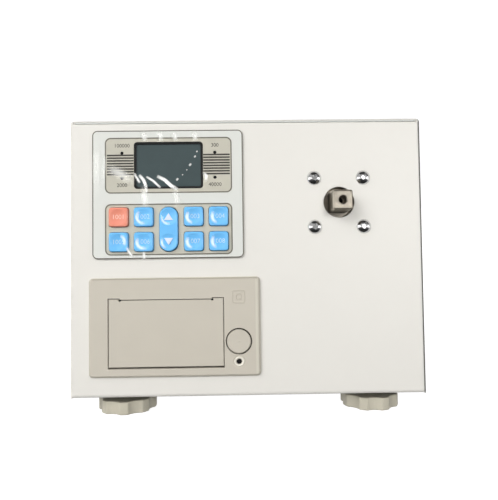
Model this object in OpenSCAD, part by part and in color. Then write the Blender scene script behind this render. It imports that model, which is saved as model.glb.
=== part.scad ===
// Bench torque tester: folded sheet case on four levelling feet, keypad and display panel,
// panel printer with a hinged paper door, and a torque sensor with a square drive.
// Millimetres, +Z up, the front faces -Y. The origin is on the bench, at the middle of the outer box.

/* [Case] */
// Width over the sides of the cover
body_w = 231; // [224:1:260]
// Depth from the front face to the rear face
body_d = 220; // [200:1:260]
// Height of the case without its feet
body_h = 181; // [179:1:205]
// Sheet of the tray: front, base and rear in one folded piece
tray_t = 1.5; // [1.2:0.1:2]
// Sheet of the wrap cover: top and both sides
cover_t = 1.2; // [1:0.1:1.5]
// Outside radius of the folds
bend_r = 2.4; // [2.2:0.1:3]
// Width of the flanges that are turned in along the sheet edges
flange_w = 12; // [11:1:15]
// Distance of the cover's screws from the front and rear faces
cover_screw_in = 30; // [25:1:40]

/* [Feet] */
// Radius of a foot knob over its lobes
knob_r = 19.5; // [18:0.5:21]
// Height of a foot knob
knob_h = 8.6; // [8:0.2:10]
// Number of lobes round a knob
knob_lobes = 8; // [6:1:10]
// Depth of the hollow between two lobes
flute_depth = 1.9; // [1.2:0.1:2.2]
// Radius of the hub that meets the base
hub_r = 7.4; // [7:0.1:8]
// Height of that hub above the knob
hub_h = 4; // [3:0.5:6]
// Radius of the threaded stud
stud_r = 4; // [3:0.5:5]
// Distance of a foot's axis from the side of the case
foot_in_x = 31.5; // [28:0.5:36]
// Distance of a foot's axis from the front or rear face
foot_in_y = 24; // [22:0.5:30]
// How far a foot screws out
foot_travel = 6; // [4:1:8]

/* [Control panel] */
// Width of the panel plate
panel_w = 97.8; // [97:0.2:104]
// Height of the panel plate
panel_h = 83.5; // [83:0.5:88]
// Corner radius of the panel plate
panel_r = 3; // [2:0.5:5]
// Distance from the left side of the case to the plate
panel_left = 15.1; // [15:0.1:18]
// Distance from the top of the case to the plate
panel_top = 7.3; // [6:0.1:9]
// How far the plate stands proud of the front sheet
plate_out = 1.2; // [1:0.1:1.6]
// Thickness of the two face labels
label_t = 0.3; // [0.2:0.05:0.4]
// Margin of the two labelled fields to the plate's sides
field_in = 7.4; // [6:0.1:8]
// Width of the display field beside its window
window_side = 18.85; // [17:0.05:20]
// Height of the display field above and below its window
window_end = 2.85; // [2.5:0.05:4]

/* [Keys] */
// Space between neighbouring keys
key_space = 3.45; // [3:0.05:4]
// Margin of the outer keys to the field's side
key_side = 2.6; // [2.2:0.05:3.2]
// Height of a key above the label
key_rise = 2; // [1.4:0.1:2.4]
// Depth of the round dish in a key
dish_depth = 0.45; // [0.3:0.05:0.6]
// Travel of a key
key_travel = 0.6; // [0.4:0.1:0.8]
// Tilt of the rocker key to each side, in degrees
rocker_tilt = 2.5; // [1:0.5:3]

/* [Printer] */
// Width of the printer's bezel
bezel_w = 111; // [110:0.5:116]
// Height of the printer's bezel
bezel_h = 64; // [63:0.5:67]
// How far the bezel stands proud of the front sheet
bezel_out = 2.4; // [2:0.1:3]
// Distance from the left side of the case to the bezel
printer_left = 12.4; // [12:0.1:16]
// Distance from the underside of the case to the bezel
printer_low = 13.4; // [12:0.1:16]
// Width of the paper door
door_w = 74; // [73.6:0.1:74.4]
// Thickness of the paper door
door_t = 2.5; // [2.2:0.1:2.7]
// Radius of the paper roll
roll_r = 16.5; // [12:0.5:17]
// Width of the paper roll
roll_w = 57.5; // [56.5:0.1:57.6]
// Radius of the rubber platen roller
platen_r = 4.5; // [4:0.1:4.6]
// Radius of the open button
button_r = 7.85; // [7:0.05:7.9]
// Travel of the open button
button_travel = 2; // [1:0.25:2]
// Depth of the printer's case behind the front face
case_d = 50; // [48:1:60]

/* [Drive] */
// Across flats of the male square drive
square_w = 12.7; // [9.5:0.1:12.8]
// How far the square stands out of the front sheet
square_out = 12.5; // [10:0.5:16]
// Radius of the round shoulder behind the square
shaft_r = 9.75; // [9.3:0.05:9.9]
// Radius of the hole in the front sheet
drive_hole_r = 10.2; // [10:0.1:10.6]
// Distance from the right side of the case to the drive's axis
drive_right = 54.7; // [50:0.1:60]
// Distance from the top of the case to the drive's axis
drive_top = 55.5; // [50:0.5:65]
// Distance between neighbouring flange screws
screw_pitch = 32.3; // [31:0.1:34]
// Radius of the M5 screws
screw_r = 2.45; // [2.4:0.05:2.5]
// Length of the sensor's sleeve behind its flange
sleeve_l = 52; // [45:1:60]

/* [Electronics] */
// Length of the main board, side to side
board_w = 120; // [100:5:125]
// Width of the main board, front to rear
board_d = 85; // [70:5:95]
// Height of the posts under the main board
post_h = 8; // [6:1:12]
// Diameter of a battery cell
cell_d = 14.5; // [14:0.1:18]
// Length of a battery cell
cell_l = 50; // [48:1:65]

/* [Fits] */
// Radial running clearance of shafts and pins
run_gap = 0.05; // [0.02:0.01:0.08]
// Clearance between faces that slide or are only laid together
seat_gap = 0.1; // [0.05:0.01:0.15]
// Clearance round each key and the paper door
key_gap = 0.2; // [0.15:0.05:0.3]

/* [Hidden] */
$fn = 48;

// Overrun of every cut, and the angle steps that hulled outlines use
over = 2;
hull_fn = 32;

// Case
stand_h = knob_h + hub_h + seat_gap;
jack_nut_t = 1.6;
face_y = (square_out - body_d - jack_nut_t) / 2;
rear_y = face_y + body_d;
top_z = stand_h + body_h;
cover_set = 0.8;
tray_w = body_w - 2 * (cover_t + seat_gap);
tray_h = body_h - cover_t - seat_gap;
m3_r = 1.5;
m3_head_r = 2.9;
m3_head_h = 1.7;
m3_hex_r = 1.15;
cover_screw_up = 7.7;
cover_screw_z = stand_h + cover_screw_up;
m3_len = 4;

// Feet
foot_x = body_w / 2 - foot_in_x;
flute_r = knob_r / 2;
knob_chamfer = 1;
nut_h = 6.5;
nut_r = 7.4;
stud_low = knob_h / 3;
stud_top = stand_h + tray_t + nut_h + foot_travel;
pad_r = 14;
pad_deep = 0.8;

// Control panel
panel_x = -body_w / 2 + panel_left + panel_w / 2;
panel_z = top_z - panel_top - panel_h / 2;
panel_lip = 2;
plug_t = 2.5;
plug_w = panel_w - 2 * (panel_lip + seat_gap);
plug_h = panel_h - 2 * (panel_lip + seat_gap);
field_x = 0.5;
field_r = 3.5;
field_w = panel_w - 2 * field_in;
field_gap = 6.9;
key_end = 2.275;
key_pitch = (field_w / 2 - key_side + key_space / 2) / 2.5;
key_w = key_pitch - key_space;
keys_h = key_pitch + key_w + 2 * key_end;
display_in = 4.4;
keys_in = 1.9;
display_h = panel_h - display_in - keys_in - keys_h - field_gap;
display_z = panel_h / 2 - display_in - display_h / 2;
keys_z = -panel_h / 2 + keys_in + keys_h / 2;
window_w = field_w - 2 * window_side;
window_h = display_h - 2 * window_end;
window_r = 1;
window_set = 0.9;
window_rim = 1.9;
window_rim_t = 1;
led_in = 7.75;
led_x = window_w / 2 + led_in;
led_share = 0.2248;
led_z = display_h * led_share;
led_hole_r = 1.1;
led_r = 1.5;
led_foot_r = 1.8;
led_tip_r = 1;
board_t = 1.6;
board_z = -8;
board_edge = 0.8;
boss_r = 2.2;
boss_in = [10.8, 3.3, 3.3];
boss_end = [2.45, 42.45, 75.65];
bosses = [for (i = [0 : 2]) [plug_w / 2 - boss_in[i], plug_h / 2 - boss_end[i]]];
lcd_side = 3.5;
lcd_end = 3.3;
lcd_w = window_w + 2 * lcd_side;
lcd_h = window_h + 2 * lcd_end;

// Keys
key_r = 1.8;
key_taper = 0.4;
key_edge = 0.5;
key_hole = key_w + 2 * key_gap;
key_flange = key_w + 1;
key_flange_t = 1;
key_under = -plug_t - seat_gap;
stem_r = 1.7;
stem_deep = 1.2;
well_deep = stem_deep + key_travel + seat_gap;
switch_w = 6;
switch_z = key_under - key_flange_t - key_travel - 3 * seat_gap;
dish_in = 1.15;
dish_r = key_w / 2 - dish_in;
dish_ball = (dish_r * dish_r + dish_depth * dish_depth) / (2 * dish_depth);
rocker_in = 0.25;
rocker_w = key_w - 2 * rocker_in;
rocker_h = key_pitch + key_w - rocker_in / 2;
rocker_ear = 2;
rocker_pin_r = 0.9;
rocker_pin_drop = 1.6;
rocker_pin_z = key_under - rocker_pin_drop;
rocker_lug_t = 1.2;
rocker_lug_x = rocker_w / 2 + key_gap + seat_gap;
rocker_switch_z = key_pitch / 2;
rocker_flange_h = 8;
rocker_gap = (plate_out - rocker_pin_z) * sin(rocker_tilt) + key_gap;

// Printer: the frame of its modules is on the front face, at the door's middle and the hinge's height
bezel_r = 2.6;
bezel_bevel = 1.2;
bezel_lip_x = 4;
bezel_lip_z = 3.5;
case_w = bezel_w - 2 * (bezel_lip_x + seat_gap);
case_h = bezel_h - 2 * (bezel_lip_z + seat_gap);
case_t = 1.8;
door_left = 12.95;
hinge_up = 9.9;
printer_x = -body_w / 2 + printer_left + door_left + door_w / 2;
printer_z = stand_h + printer_low + hinge_up;
bezel_x = bezel_w / 2 - door_left - door_w / 2;
bezel_z = bezel_h / 2 - hinge_up;
door_set = 0.3;
door_face = bezel_out - door_set;
hinge_deep = 2.6;
hinge_out = door_face - hinge_deep;
door_low = 3.2;
door_gap_low = 1.2;
door_top = 40.5;
slot_low = 0.9;
slot_w = 59.8;
slot_h = 0.5;
slot_end_r = 0.8;
door_r = 0.8;
pin_r = 1.2;
knuckle_r = 2.3;
knuckle_w = 8;
pin_over = 3.4;
bay_wall_t = 1.4;
roll_side_gap = 0.45;
bay_wall_x = roll_w / 2 + roll_side_gap;
bay_wall_top = 24;
roll_y = -24;
roll_z = 14;
core_r = 6;
cradle_gap = 0.3;
cradle_t = 1.4;
cheek_t = 1.8;
cheek_x = bay_wall_x + bay_wall_t + 3 * seat_gap;
platen_in = 9;
platen_y = hinge_out - platen_in;
platen_z = 32.5;
platen_w = 58;
shaft_small_r = 1.5;
frame_x = cheek_x + cheek_t + 5 * seat_gap;
frame_t = 1;
frame_low = 18;
frame_top = 46.5;
frame_front = -8;
frame_back = -36;
slot_half = 2.1;
gear_side_gap = 0.7;
gear_x = frame_x + frame_t + gear_side_gap;
gear_w = 1.7;
gear_module = 0.5;
platen_teeth = 20;
idler_teeth = 30;
pinion_teeth = 12;
gear_backlash = 0.08;
pressure_angle = 20;
root_share = 1.25;
tooth_steps = 4;
swing_angle = atan2(platen_in, platen_z);
idler_gap = gear_module * (platen_teeth + idler_teeth) / 2;
idler_y = platen_y - idler_gap * cos(swing_angle);
idler_z = platen_z - idler_gap * sin(swing_angle);
pinion_gap = gear_module * (pinion_teeth + idler_teeth) / 2;
pinion_angle = 110;
pinion_y = idler_y + pinion_gap * cos(pinion_angle);
pinion_z = idler_z + pinion_gap * sin(pinion_angle);
motor_r = 6.2;
motor_l = 15;
motor_shaft_r = 0.75;
head_angle = 45;
head_t = 3;
head_h = 9;
head_gap = 0.3;
leaf_t = 0.5;
bridge_share = 0.6;
post_share = 0.8;
button_x = 46.95;
button_z = 12.5;
button_hole_r = button_r + 2 * key_gap;
button_rise = 0.2;
button_deep = 4;
button_stem_r = 2.5;
guide_y = -8;
guide_t = 1.5;
collar_r = 3.6;
collar_t = 2;
spring_r = 4.6;
spring_wire_r = 0.4;
spring_turns = 2.5;
lever_side_gap = 1;
lever_x = frame_x + frame_t + lever_side_gap;
lever_t = 2;
lever_y = -15.5;
lever_z = 22;
lever_pin_r = 1.5;
lever_bar_r = 1.5;
lever_eye_r = 3.2;
lever_gap = button_travel * (platen_z - lever_z) / (lever_z - button_z) + seat_gap * 2;
printer_led_z = -0.6;
printer_led_r = 1.5;
led_dish_r = 4;
led_dish_depth = 0.5;

// Drive and sensor: the frame of these modules is on the front face, at the drive's axis
drive_x = body_w / 2 - drive_right;
drive_z = top_z - drive_top;
square_round = 8.4;
square_chamfer = 0.9;
square_root = -5;
centre_hole_r = 2.35;
centre_hole_deep = 8;
centre_cone = 0.6;
bush_t = 2.2;
bush_l = 17;
bush_y = -3;
flange_t = 8;
flange_side = 12.85;
sensor_flange_r = screw_pitch / 2 + flange_side;
sleeve_t = 4.4;
neck_r = 6;
journal_l = 17;
rear_hub_l = 12;
rear_cap_t = 4;
sleeve_bore_r = shaft_r + bush_t + run_gap;
sleeve_r = sleeve_bore_r + sleeve_t;
button_head_r = 4.75;
button_head_h = 2.75;
hex_r = 1.75;
hex_deep = 1.7;
screw_clear = 0.25;
plate_t = 6;
plate_side = 3;
plate_w = 2 * (sensor_flange_r + plate_side);
plate_foot = 45;
bracket_y = -tray_t - flange_t;
bracket_left = -17;
bracket_right = foot_x - nut_r - stud_r / 2 - drive_x;
bracket_screw_in = 11;
bracket_screw_side = 3.5;
bracket_screw_y = [bracket_screw_in + plate_t, plate_foot - bracket_screw_in];

// Electronics
foot_clear = 2;
battery_clear = 10.5;
board_y = rear_y - foot_in_y - nut_r - foot_clear - board_d / 2;
post_in = 5;
chip_boxes = [[-40, 10, 12, 12, 2.2], [-15, -18, 20, 8, 3], [20, 12, 14, 14, 2.2], [45, -22, 10, 22, 9]];
cell_count = 6;
battery_in = 30;
battery_x = body_w / 2 - battery_in;
strap_w = 12;
strap_t = 1.2;
strap_foot = 8;
battery_y = rear_y - foot_in_y - nut_r - foot_clear - cell_d * cell_count / 2 - seat_gap - strap_t - strap_foot;
board_x = battery_x - cell_l / 2 - battery_clear - board_w / 2;
socket_up = 42;
socket_z = stand_h + socket_up;
jack_x = 62;
usb_x = 30;
jack_r = 5.5;
jack_nut_r = 7;
jack_bore_r = 3.2;
jack_pin_r = 1;
jack_l = 13;
jack_bore_l = 9;
usb_w = 12;
usb_h = 11;
usb_l = 16;
usb_wall = 1.2;
usb_tongue_w = 5.6;
usb_tongue_h = 3.2;
usb_flange = 3;
ribbon_w = 26;
ribbon_t = 1;
ribbon_in = 18.5;
ribbon_x = board_x - board_w / 2 + ribbon_in;

// Flat rounded rectangle about the origin
module rrect(w, h, r) {
    square([w - 2 * r, h], center = true);
    square([w, h - 2 * r], center = true);
    for (sx = [-1, 1], sy = [-1, 1])
        translate([sx * (w / 2 - r), sy * (h / 2 - r)]) circle(r);
}

// Rounded slab between two heights
module slab(w, h, r, low, high) {
    translate([0, 0, low]) linear_extrude(high - low) rrect(w, h, r);
}

// Upright round bar between two heights
module bar(r, low, high) {
    translate([0, 0, low]) cylinder(h = high - low, r = r);
}

// Places children on the front face: their x stays, their y points up, their z points out to the front
module on_face(x, z) {
    translate([x, face_y, z]) rotate([90, 0, 0]) children();
}

// Bar along X between two x values, in a frame where y is up and z is out
module cross_bar(r, x0, x1, up, out) {
    translate([x0, up, out]) rotate([0, 90, 0]) cylinder(h = x1 - x0, r = r);
}

// Profile drawn as (out, up), given a thickness along X from x0 to x1, in the front face's frame
module side_profile(x0, x1) {
    translate([x1, 0, 0]) rotate([0, -90, 0]) linear_extrude(x1 - x0) children();
}

// Screw with a round button head and a hexagonal socket: head above zero, shank below
module button_screw(shank_r, length, head_r, head_h, socket_r, socket_deep) {
    ball = (head_r * head_r + head_h * head_h) / (2 * head_h);
    difference() {
        union() {
            intersection() {
                translate([0, 0, head_h - ball]) sphere(ball, $fn = 64);
                bar(head_r, 0, head_h);
            }
            bar(shank_r, -length, head_h / 4);
        }
        translate([0, 0, head_h - socket_deep]) cylinder(h = socket_deep + over, r = socket_r, $fn = 6);
    }
}

// Case

module chassis_tray() {
    color("ivory") difference() {
        intersection() {
            union() {
                tray_fold();
                for (s = [-1, 1]) {
                    side_flange(s, face_y, flange_w, tray_h - 2 * flange_w);
                    side_flange(s, rear_y - flange_w, flange_w, tray_h - 2 * flange_w);
                    base_flange(s);
                }
            }
            translate([0, rear_y, stand_h]) rotate([90, 0, 0]) linear_extrude(body_d)
                rrect(tray_w, 2 * tray_h, bend_r - cover_t - seat_gap);
        }
        on_face(panel_x, panel_z)
            slab(plug_w + 2 * seat_gap, plug_h + 2 * seat_gap, panel_r, -over - tray_t, over);
        on_face(printer_x + bezel_x, printer_z + bezel_z)
            slab(case_w + 2 * seat_gap, case_h + 2 * seat_gap, bezel_r, -over - tray_t, over);
        on_face(drive_x, drive_z) {
            bar(drive_hole_r, -over - tray_t, over);
            screw_circle() bar(screw_r + screw_clear, -over - tray_t, over);
        }
        feet() translate([0, 0, stand_h]) bar(stud_r + screw_clear, -over, tray_t + over);
        bracket_bolts() bar(screw_r + screw_clear, -over, tray_t + over);
        cover_bolts() bar(m3_r + run_gap, -m3_len - over, over);
        translate([jack_x, rear_y, socket_z]) rotate([90, 0, 0]) bar(jack_r + seat_gap, -over, tray_t + over);
        translate([usb_x, rear_y, socket_z]) rotate([90, 0, 0])
            slab(usb_w + 2 * seat_gap, usb_h + 2 * seat_gap, usb_wall / 2, -over, tray_t + over);
    }
}

// Front, base, rear and the two top flanges as one folded strip
module tray_fold() {
    rotate([90, 0, 90]) translate([0, 0, -tray_w / 2]) linear_extrude(tray_w) difference() {
        translate([(face_y + rear_y) / 2, stand_h + tray_h / 2]) rrect(body_d, tray_h, bend_r);
        translate([(face_y + rear_y) / 2, stand_h + tray_h / 2])
            rrect(body_d - 2 * tray_t, tray_h - 2 * tray_t, bend_r - tray_t);
        translate([face_y + flange_w, stand_h + tray_h / 2])
            square([body_d - 2 * flange_w, tray_h]);
    }
}

// Flange turned back along one upright edge of the front or the rear
module side_flange(side, y0, length, height) {
    translate([side * (tray_w / 2 - tray_t / 2) - tray_t / 2, y0 + tray_t / 2, stand_h + flange_w + tray_t])
        cube([tray_t, length - tray_t, height]);
}

// Flange turned up along one side of the base, which takes the cover's screws
module base_flange(side) {
    translate([side * (tray_w / 2 - tray_t / 2) - tray_t / 2, face_y + flange_w, stand_h + tray_t / 2])
        cube([tray_t, body_d - 2 * flange_w, flange_w - tray_t / 2]);
}

module cover() {
    color("ivory") difference() {
        translate([0, rear_y - cover_set, 0]) rotate([90, 0, 0]) linear_extrude(body_d - 2 * cover_set)
            cover_section();
        cover_bolts() bar(m3_r + screw_clear, -m3_len - over, over);
    }
}

// Inverted U of the cover, open at the base
module cover_section() {
    difference() {
        translate([0, stand_h + body_h / 2 - bend_r]) rrect(body_w, body_h + 2 * bend_r, bend_r);
        translate([0, stand_h + body_h / 2 - bend_r])
            rrect(body_w - 2 * cover_t, body_h + 2 * bend_r - 2 * cover_t, bend_r - cover_t);
        translate([-body_w, stand_h - body_h]) square([2 * body_w, body_h]);
    }
}

// Places children at each cover screw: their z points outward, zero on the cover's outer face
module cover_bolts() {
    for (side = [-1, 1], y = [face_y + cover_screw_in, rear_y - cover_screw_in])
        translate([side * body_w / 2, y, cover_screw_z]) rotate([0, side * 90, 0]) children();
}

module cover_screws() {
    color("dimgray") cover_bolts() button_screw(m3_r, m3_len, m3_head_r, m3_head_h, m3_hex_r, m3_head_h / 2);
}

// Feet

// Places children at the four foot axes, on the bench
module feet() {
    for (side = [-1, 1], y = [face_y + foot_in_y, rear_y - foot_in_y])
        translate([side * foot_x, y, 0]) children();
}

// Moulded knob: lobed rim with turned edges, and a hub that meets the base
module foot_knob() {
    color("ivory") difference() {
        union() {
            intersection() {
                difference() {
                    bar(knob_r, 0, knob_h);
                    for (i = [0 : knob_lobes - 1])
                        rotate([0, 0, (i + 0.5) * 360 / knob_lobes])
                            translate([knob_r - flute_depth + flute_r, 0, 0]) bar(flute_r, -over, knob_h + over);
                }
                rotate_extrude() polygon([[0, 0], [knob_r - knob_chamfer, 0], [knob_r, knob_chamfer],
                    [knob_r, knob_h - knob_chamfer], [knob_r - knob_chamfer, knob_h], [0, knob_h]]);
            }
            bar(hub_r, knob_h / 2, knob_h + hub_h);
        }
        bar(stud_r, stud_low, stand_h + over);
        difference() {
            bar(pad_r, -over, pad_deep);
            bar(hub_r, -over, pad_deep);
        }
    }
}

module foot_stud() {
    color("silver") bar(stud_r, stud_low, stud_top);
}

module at_foot(side, y) {
    translate([side * foot_x, y, 0]) children();
}

module foot_nuts() {
    color("silver") feet() translate([0, 0, stand_h + tray_t]) difference() {
        cylinder(h = nut_h, r = nut_r, $fn = 6);
        bar(stud_r + run_gap, -over, nut_h + over);
    }
}

// Control panel

module on_panel() {
    on_face(panel_x, panel_z) children();
}

// Places children at each square key given by its column and row
module at_key(column, row) {
    on_panel() translate([field_x + column * key_pitch, keys_z + row * key_pitch / 2, 0]) children();
}

module all_keys() {
    for (column = [-2, -1, 1, 2], row = [-1, 1])
        translate([field_x + column * key_pitch, keys_z + row * key_pitch / 2, 0]) children();
}

module at_leds() {
    for (sx = [-1, 1], sy = [-1, 1])
        translate([field_x + sx * led_x, display_z + sy * led_z, 0]) children();
}

// Openings for the keys, the display and the lamps, through everything between two heights
module panel_openings(low, high) {
    all_keys() slab(key_hole, key_hole, key_r + key_gap, low, high);
    translate([field_x, keys_z, 0])
        slab(rocker_w + 2 * key_gap, rocker_h + 2 * rocker_gap, rocker_w / 2, low, high);
    translate([field_x, display_z, 0]) slab(window_w, window_h, window_r, low, high);
    at_leds() bar(led_hole_r, low, high);
}

module display_field(low, high) {
    translate([field_x, display_z, 0]) slab(field_w, display_h, field_r, low, high);
}

module key_field(low, high) {
    translate([field_x, keys_z, 0]) slab(field_w, keys_h, field_r, low, high);
}

module panel_plate() {
    color("gainsboro") on_panel() {
        difference() {
            union() {
                slab(panel_w, panel_h, panel_r, 0, plate_out);
                slab(plug_w, plug_h, panel_r, -plug_t, plate_out / 2);
            }
            display_field(plate_out - label_t, plate_out + over);
            key_field(plate_out - label_t, plate_out + over);
            panel_openings(-plug_t - over, plate_out + over);
        }
        for (p = bosses, s = [-1, 1])
            translate([s * p[0], p[1], 0]) bar(boss_r, board_z, -plug_t);
        rocker_lugs();
    }
}

// Two lugs under the plate that carry the rocker's pins
module rocker_lugs() {
    for (s = [-1, 1]) translate([field_x + s * (rocker_lug_x + rocker_lug_t / 2), keys_z, 0]) difference() {
        translate([-rocker_lug_t / 2, -rocker_ear, rocker_pin_z - rocker_ear])
            cube([rocker_lug_t, 2 * rocker_ear, rocker_ear - rocker_pin_z - plug_t]);
        cross_bar(rocker_pin_r + run_gap, -rocker_lug_t, rocker_lug_t, 0, rocker_pin_z);
    }
}

module display_label() {
    color("tan") on_panel() difference() {
        display_field(plate_out - label_t, plate_out);
        panel_openings(-over, plate_out + over);
    }
}

module key_label() {
    color("tan") on_panel() difference() {
        key_field(plate_out - label_t, plate_out);
        panel_openings(-over, plate_out + over);
    }
}

// Clear window, pushed in from behind until its rim meets the plate
module lcd_window() {
    color("slategray") on_panel() translate([field_x, display_z, 0]) {
        slab(window_w - 2 * seat_gap, window_h - 2 * seat_gap, window_r, -plug_t, plate_out - window_set);
        slab(window_w + 2 * window_rim, window_h + 2 * window_rim, window_r, -plug_t - window_rim_t, -plug_t);
    }
}

// Display glass in its metal frame
module lcd_module() {
    color("darkslategray") on_panel() translate([field_x, display_z, 0]) difference() {
        slab(lcd_w, lcd_h, window_r, board_z, -plug_t - window_rim_t);
        difference() {
            slab(window_w, window_h, window_r, -plug_t - 2 * window_rim_t, over);
            slab(window_w - window_rim, window_h - window_rim, window_r,
                -plug_t - 3 * window_rim_t, -plug_t - 1.5 * window_rim_t);
        }
    }
}

module indicator_leds() {
    color("black") on_panel() at_leds() {
        bar(led_r, board_z, -plug_t - led_r / 2);
        bar(led_foot_r, board_z, board_z + led_r);
        translate([0, 0, -plug_t - led_r / 2]) intersection() {
            sphere(led_r);
            bar(led_tip_r, 0, led_r);
        }
    }
}

module key_board() {
    color("seagreen") on_panel() slab(plug_w - 2 * board_edge, plug_h - 2 * board_edge, panel_r / 2,
        board_z - board_t, board_z);
}

module key_switches() {
    color("black") on_panel() {
        all_keys() switch_body(stem_r + run_gap);
        for (s = [-1, 1]) translate([field_x, keys_z + s * rocker_switch_z, 0]) switch_body(stem_r + 2 * key_gap);
    }
}

// Push switch with the well for a key's stem
module switch_body(well_r) {
    difference() {
        translate([-switch_w / 2, -switch_w / 2, board_z]) cube([switch_w, switch_w, switch_z - board_z]);
        bar(well_r, switch_z - well_deep, switch_z + over);
    }
}

// Square key: tapered cap with a shallow round dish, retaining flange and stem
module square_key() {
    difference() {
        hull() {
            slab(key_w, key_w, key_r, key_under, plate_out, $fn = hull_fn);
            slab(key_w - 2 * key_taper, key_w - 2 * key_taper, key_r, plate_out, plate_out + key_rise - key_edge,
                $fn = hull_fn);
            slab(key_w - 2 * key_taper - key_edge, key_w - 2 * key_taper - key_edge, key_r,
                plate_out, plate_out + key_rise, $fn = hull_fn);
        }
        translate([0, 0, plate_out + key_rise - dish_depth + dish_ball]) sphere(dish_ball, $fn = 180);
    }
    slab(key_flange, key_flange, key_r, key_under - key_flange_t, key_under);
    bar(stem_r, switch_z - stem_deep, key_under - key_flange_t);
}

// Long rocker key on two pins, with a stem for each of its switches
module rocker_key() {
    color("deepskyblue") on_panel() translate([field_x, keys_z, 0]) {
        difference() {
            hull() {
                slab(rocker_w, rocker_h, rocker_w / 2 - key_edge, key_under, plate_out, $fn = hull_fn);
                slab(rocker_w - 2 * key_taper - key_edge, rocker_h - 2 * key_taper - key_edge,
                    rocker_w / 2 - key_taper - key_edge, plate_out, plate_out + key_rise, $fn = hull_fn);
            }
            for (s = [-1, 1]) translate([0, s * rocker_switch_z, plate_out + key_rise - dish_depth + dish_ball])
                sphere(dish_ball, $fn = 180);
        }
        translate([-rocker_w / 2 + key_gap, -rocker_flange_h / 2, rocker_pin_z - rocker_pin_r])
            cube([rocker_w - 2 * key_gap, rocker_flange_h, key_under - rocker_pin_z + rocker_pin_r]);
        cross_bar(rocker_pin_r, -rocker_lug_x - rocker_lug_t, rocker_lug_x + rocker_lug_t, 0, rocker_pin_z);
        for (s = [-1, 1]) translate([0, s * rocker_switch_z, 0]) bar(stem_r, switch_z - stem_deep / 2, key_under);
    }
}

// Printer

module on_printer() {
    on_face(printer_x, printer_z) children();
}

// Outline of the door as (x, up), with its two corner tabs and the paper slot's round ends
module door_outline(grow) {
    low = -door_low - grow;
    slot_top = door_top - slot_low;
    difference() {
        union() {
            translate([-door_w / 2 - grow, low]) square([door_w + 2 * grow, slot_top - low + grow]);
            for (s = [-1, 1]) translate([s * (door_w + slot_w) / 4, door_top / 2])
                square([(door_w - slot_w) / 2 + 2 * grow, door_top + 2 * grow], center = true);
        }
        if (grow == 0) for (s = [-1, 1]) translate([s * slot_w / 2, slot_top]) circle(slot_end_r);
    }
}

module printer_case() {
    color("tan") on_printer() difference() {
        union() {
            translate([bezel_x, bezel_z, 0]) hull() {
                slab(bezel_w, bezel_h, bezel_r, 0, bezel_out - bezel_bevel, $fn = hull_fn);
                slab(bezel_w - 2 * bezel_bevel, bezel_h - 2 * bezel_bevel, bezel_r - bezel_bevel,
                    0, bezel_out, $fn = hull_fn);
            }
            difference() {
                translate([bezel_x, bezel_z, 0]) slab(case_w, case_h, bezel_r, -case_d, 0);
                translate([bezel_x, bezel_z, 0])
                    slab(case_w - 2 * case_t, case_h - 2 * case_t, bezel_r / 2, -case_d - over, over);
            }
            paper_bay();
            hinge_bosses();
            button_guide();
            frame_posts();
        }
        translate([0, 0, -2 * tray_t]) linear_extrude(bezel_out + 2 * tray_t + over) door_outline(key_gap);
        translate([-door_w / 2 - key_gap, -door_low - door_gap_low, -2 * tray_t])
            cube([door_w + 2 * key_gap, door_gap_low + door_low, bezel_out + 2 * tray_t + over]);
        translate([-slot_w / 2, door_top - slot_low, -over]) cube([slot_w, slot_h, bezel_out + 2 * over]);
        translate([button_x, button_z, 0]) bar(button_hole_r, -button_deep - button_travel - seat_gap, bezel_out + over);
        cross_bar(pin_r, -door_w / 2 - pin_over, door_w / 2 + pin_over, 0, hinge_out);
        translate([button_x, printer_led_z, 0]) {
            bar(printer_led_r + key_gap, -over, bezel_out + over);
            translate([0, 0, bezel_out]) scale([1, 1, led_dish_depth / led_dish_r]) sphere(led_dish_r, $fn = 64);
        }
    }
}

// Two cheeks and a curved cradle for the paper roll
module paper_bay() {
    low = bezel_z - case_h / 2;
    for (s = [-1, 1])
        translate([s * (bay_wall_x + bay_wall_t / 2) - bay_wall_t / 2, low, -case_d + case_t])
            cube([bay_wall_t, bay_wall_top - low, case_d - 4 * case_t]);
    side_profile(-bay_wall_x - bay_wall_t / 2, bay_wall_x + bay_wall_t / 2) intersection() {
        translate([roll_y, roll_z]) difference() {
            circle(roll_r + cradle_gap + cradle_t);
            circle(roll_r + cradle_gap);
        }
        translate([-case_d, low]) square([case_d + roll_y + roll_r / 2, bay_wall_top - low]);
    }
}

// Blocks behind the bezel that hold the ends of the hinge pin
module hinge_bosses() {
    for (s = [-1, 1])
        translate([s * (door_w / 2 + key_gap + pin_over / 2) - pin_over / 2, -knuckle_r, hinge_out - knuckle_r])
            cube([pin_over, 2 * knuckle_r, knuckle_r - hinge_out]);
}

// Sleeve behind the button's hole, closed by a plate that guides the stem
module button_guide() {
    translate([button_x, button_z, 0]) difference() {
        bar(button_hole_r + 0.5 * case_t, guide_y - guide_t, 0);
        bar(button_hole_r, guide_y, over);
        bar(button_stem_r + run_gap, guide_y - guide_t - over, over);
    }
}

// Posts under the case's top wall that carry the mechanism's frame
module frame_posts() {
    for (s = [-1, 1]) translate([s * frame_x * post_share, frame_top, frame_back + 4 * case_t]) rotate([-90, 0, 0])
        cylinder(h = bezel_z + case_h / 2 - frame_top - case_t / 2, r = 2 * case_t);
}

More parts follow.
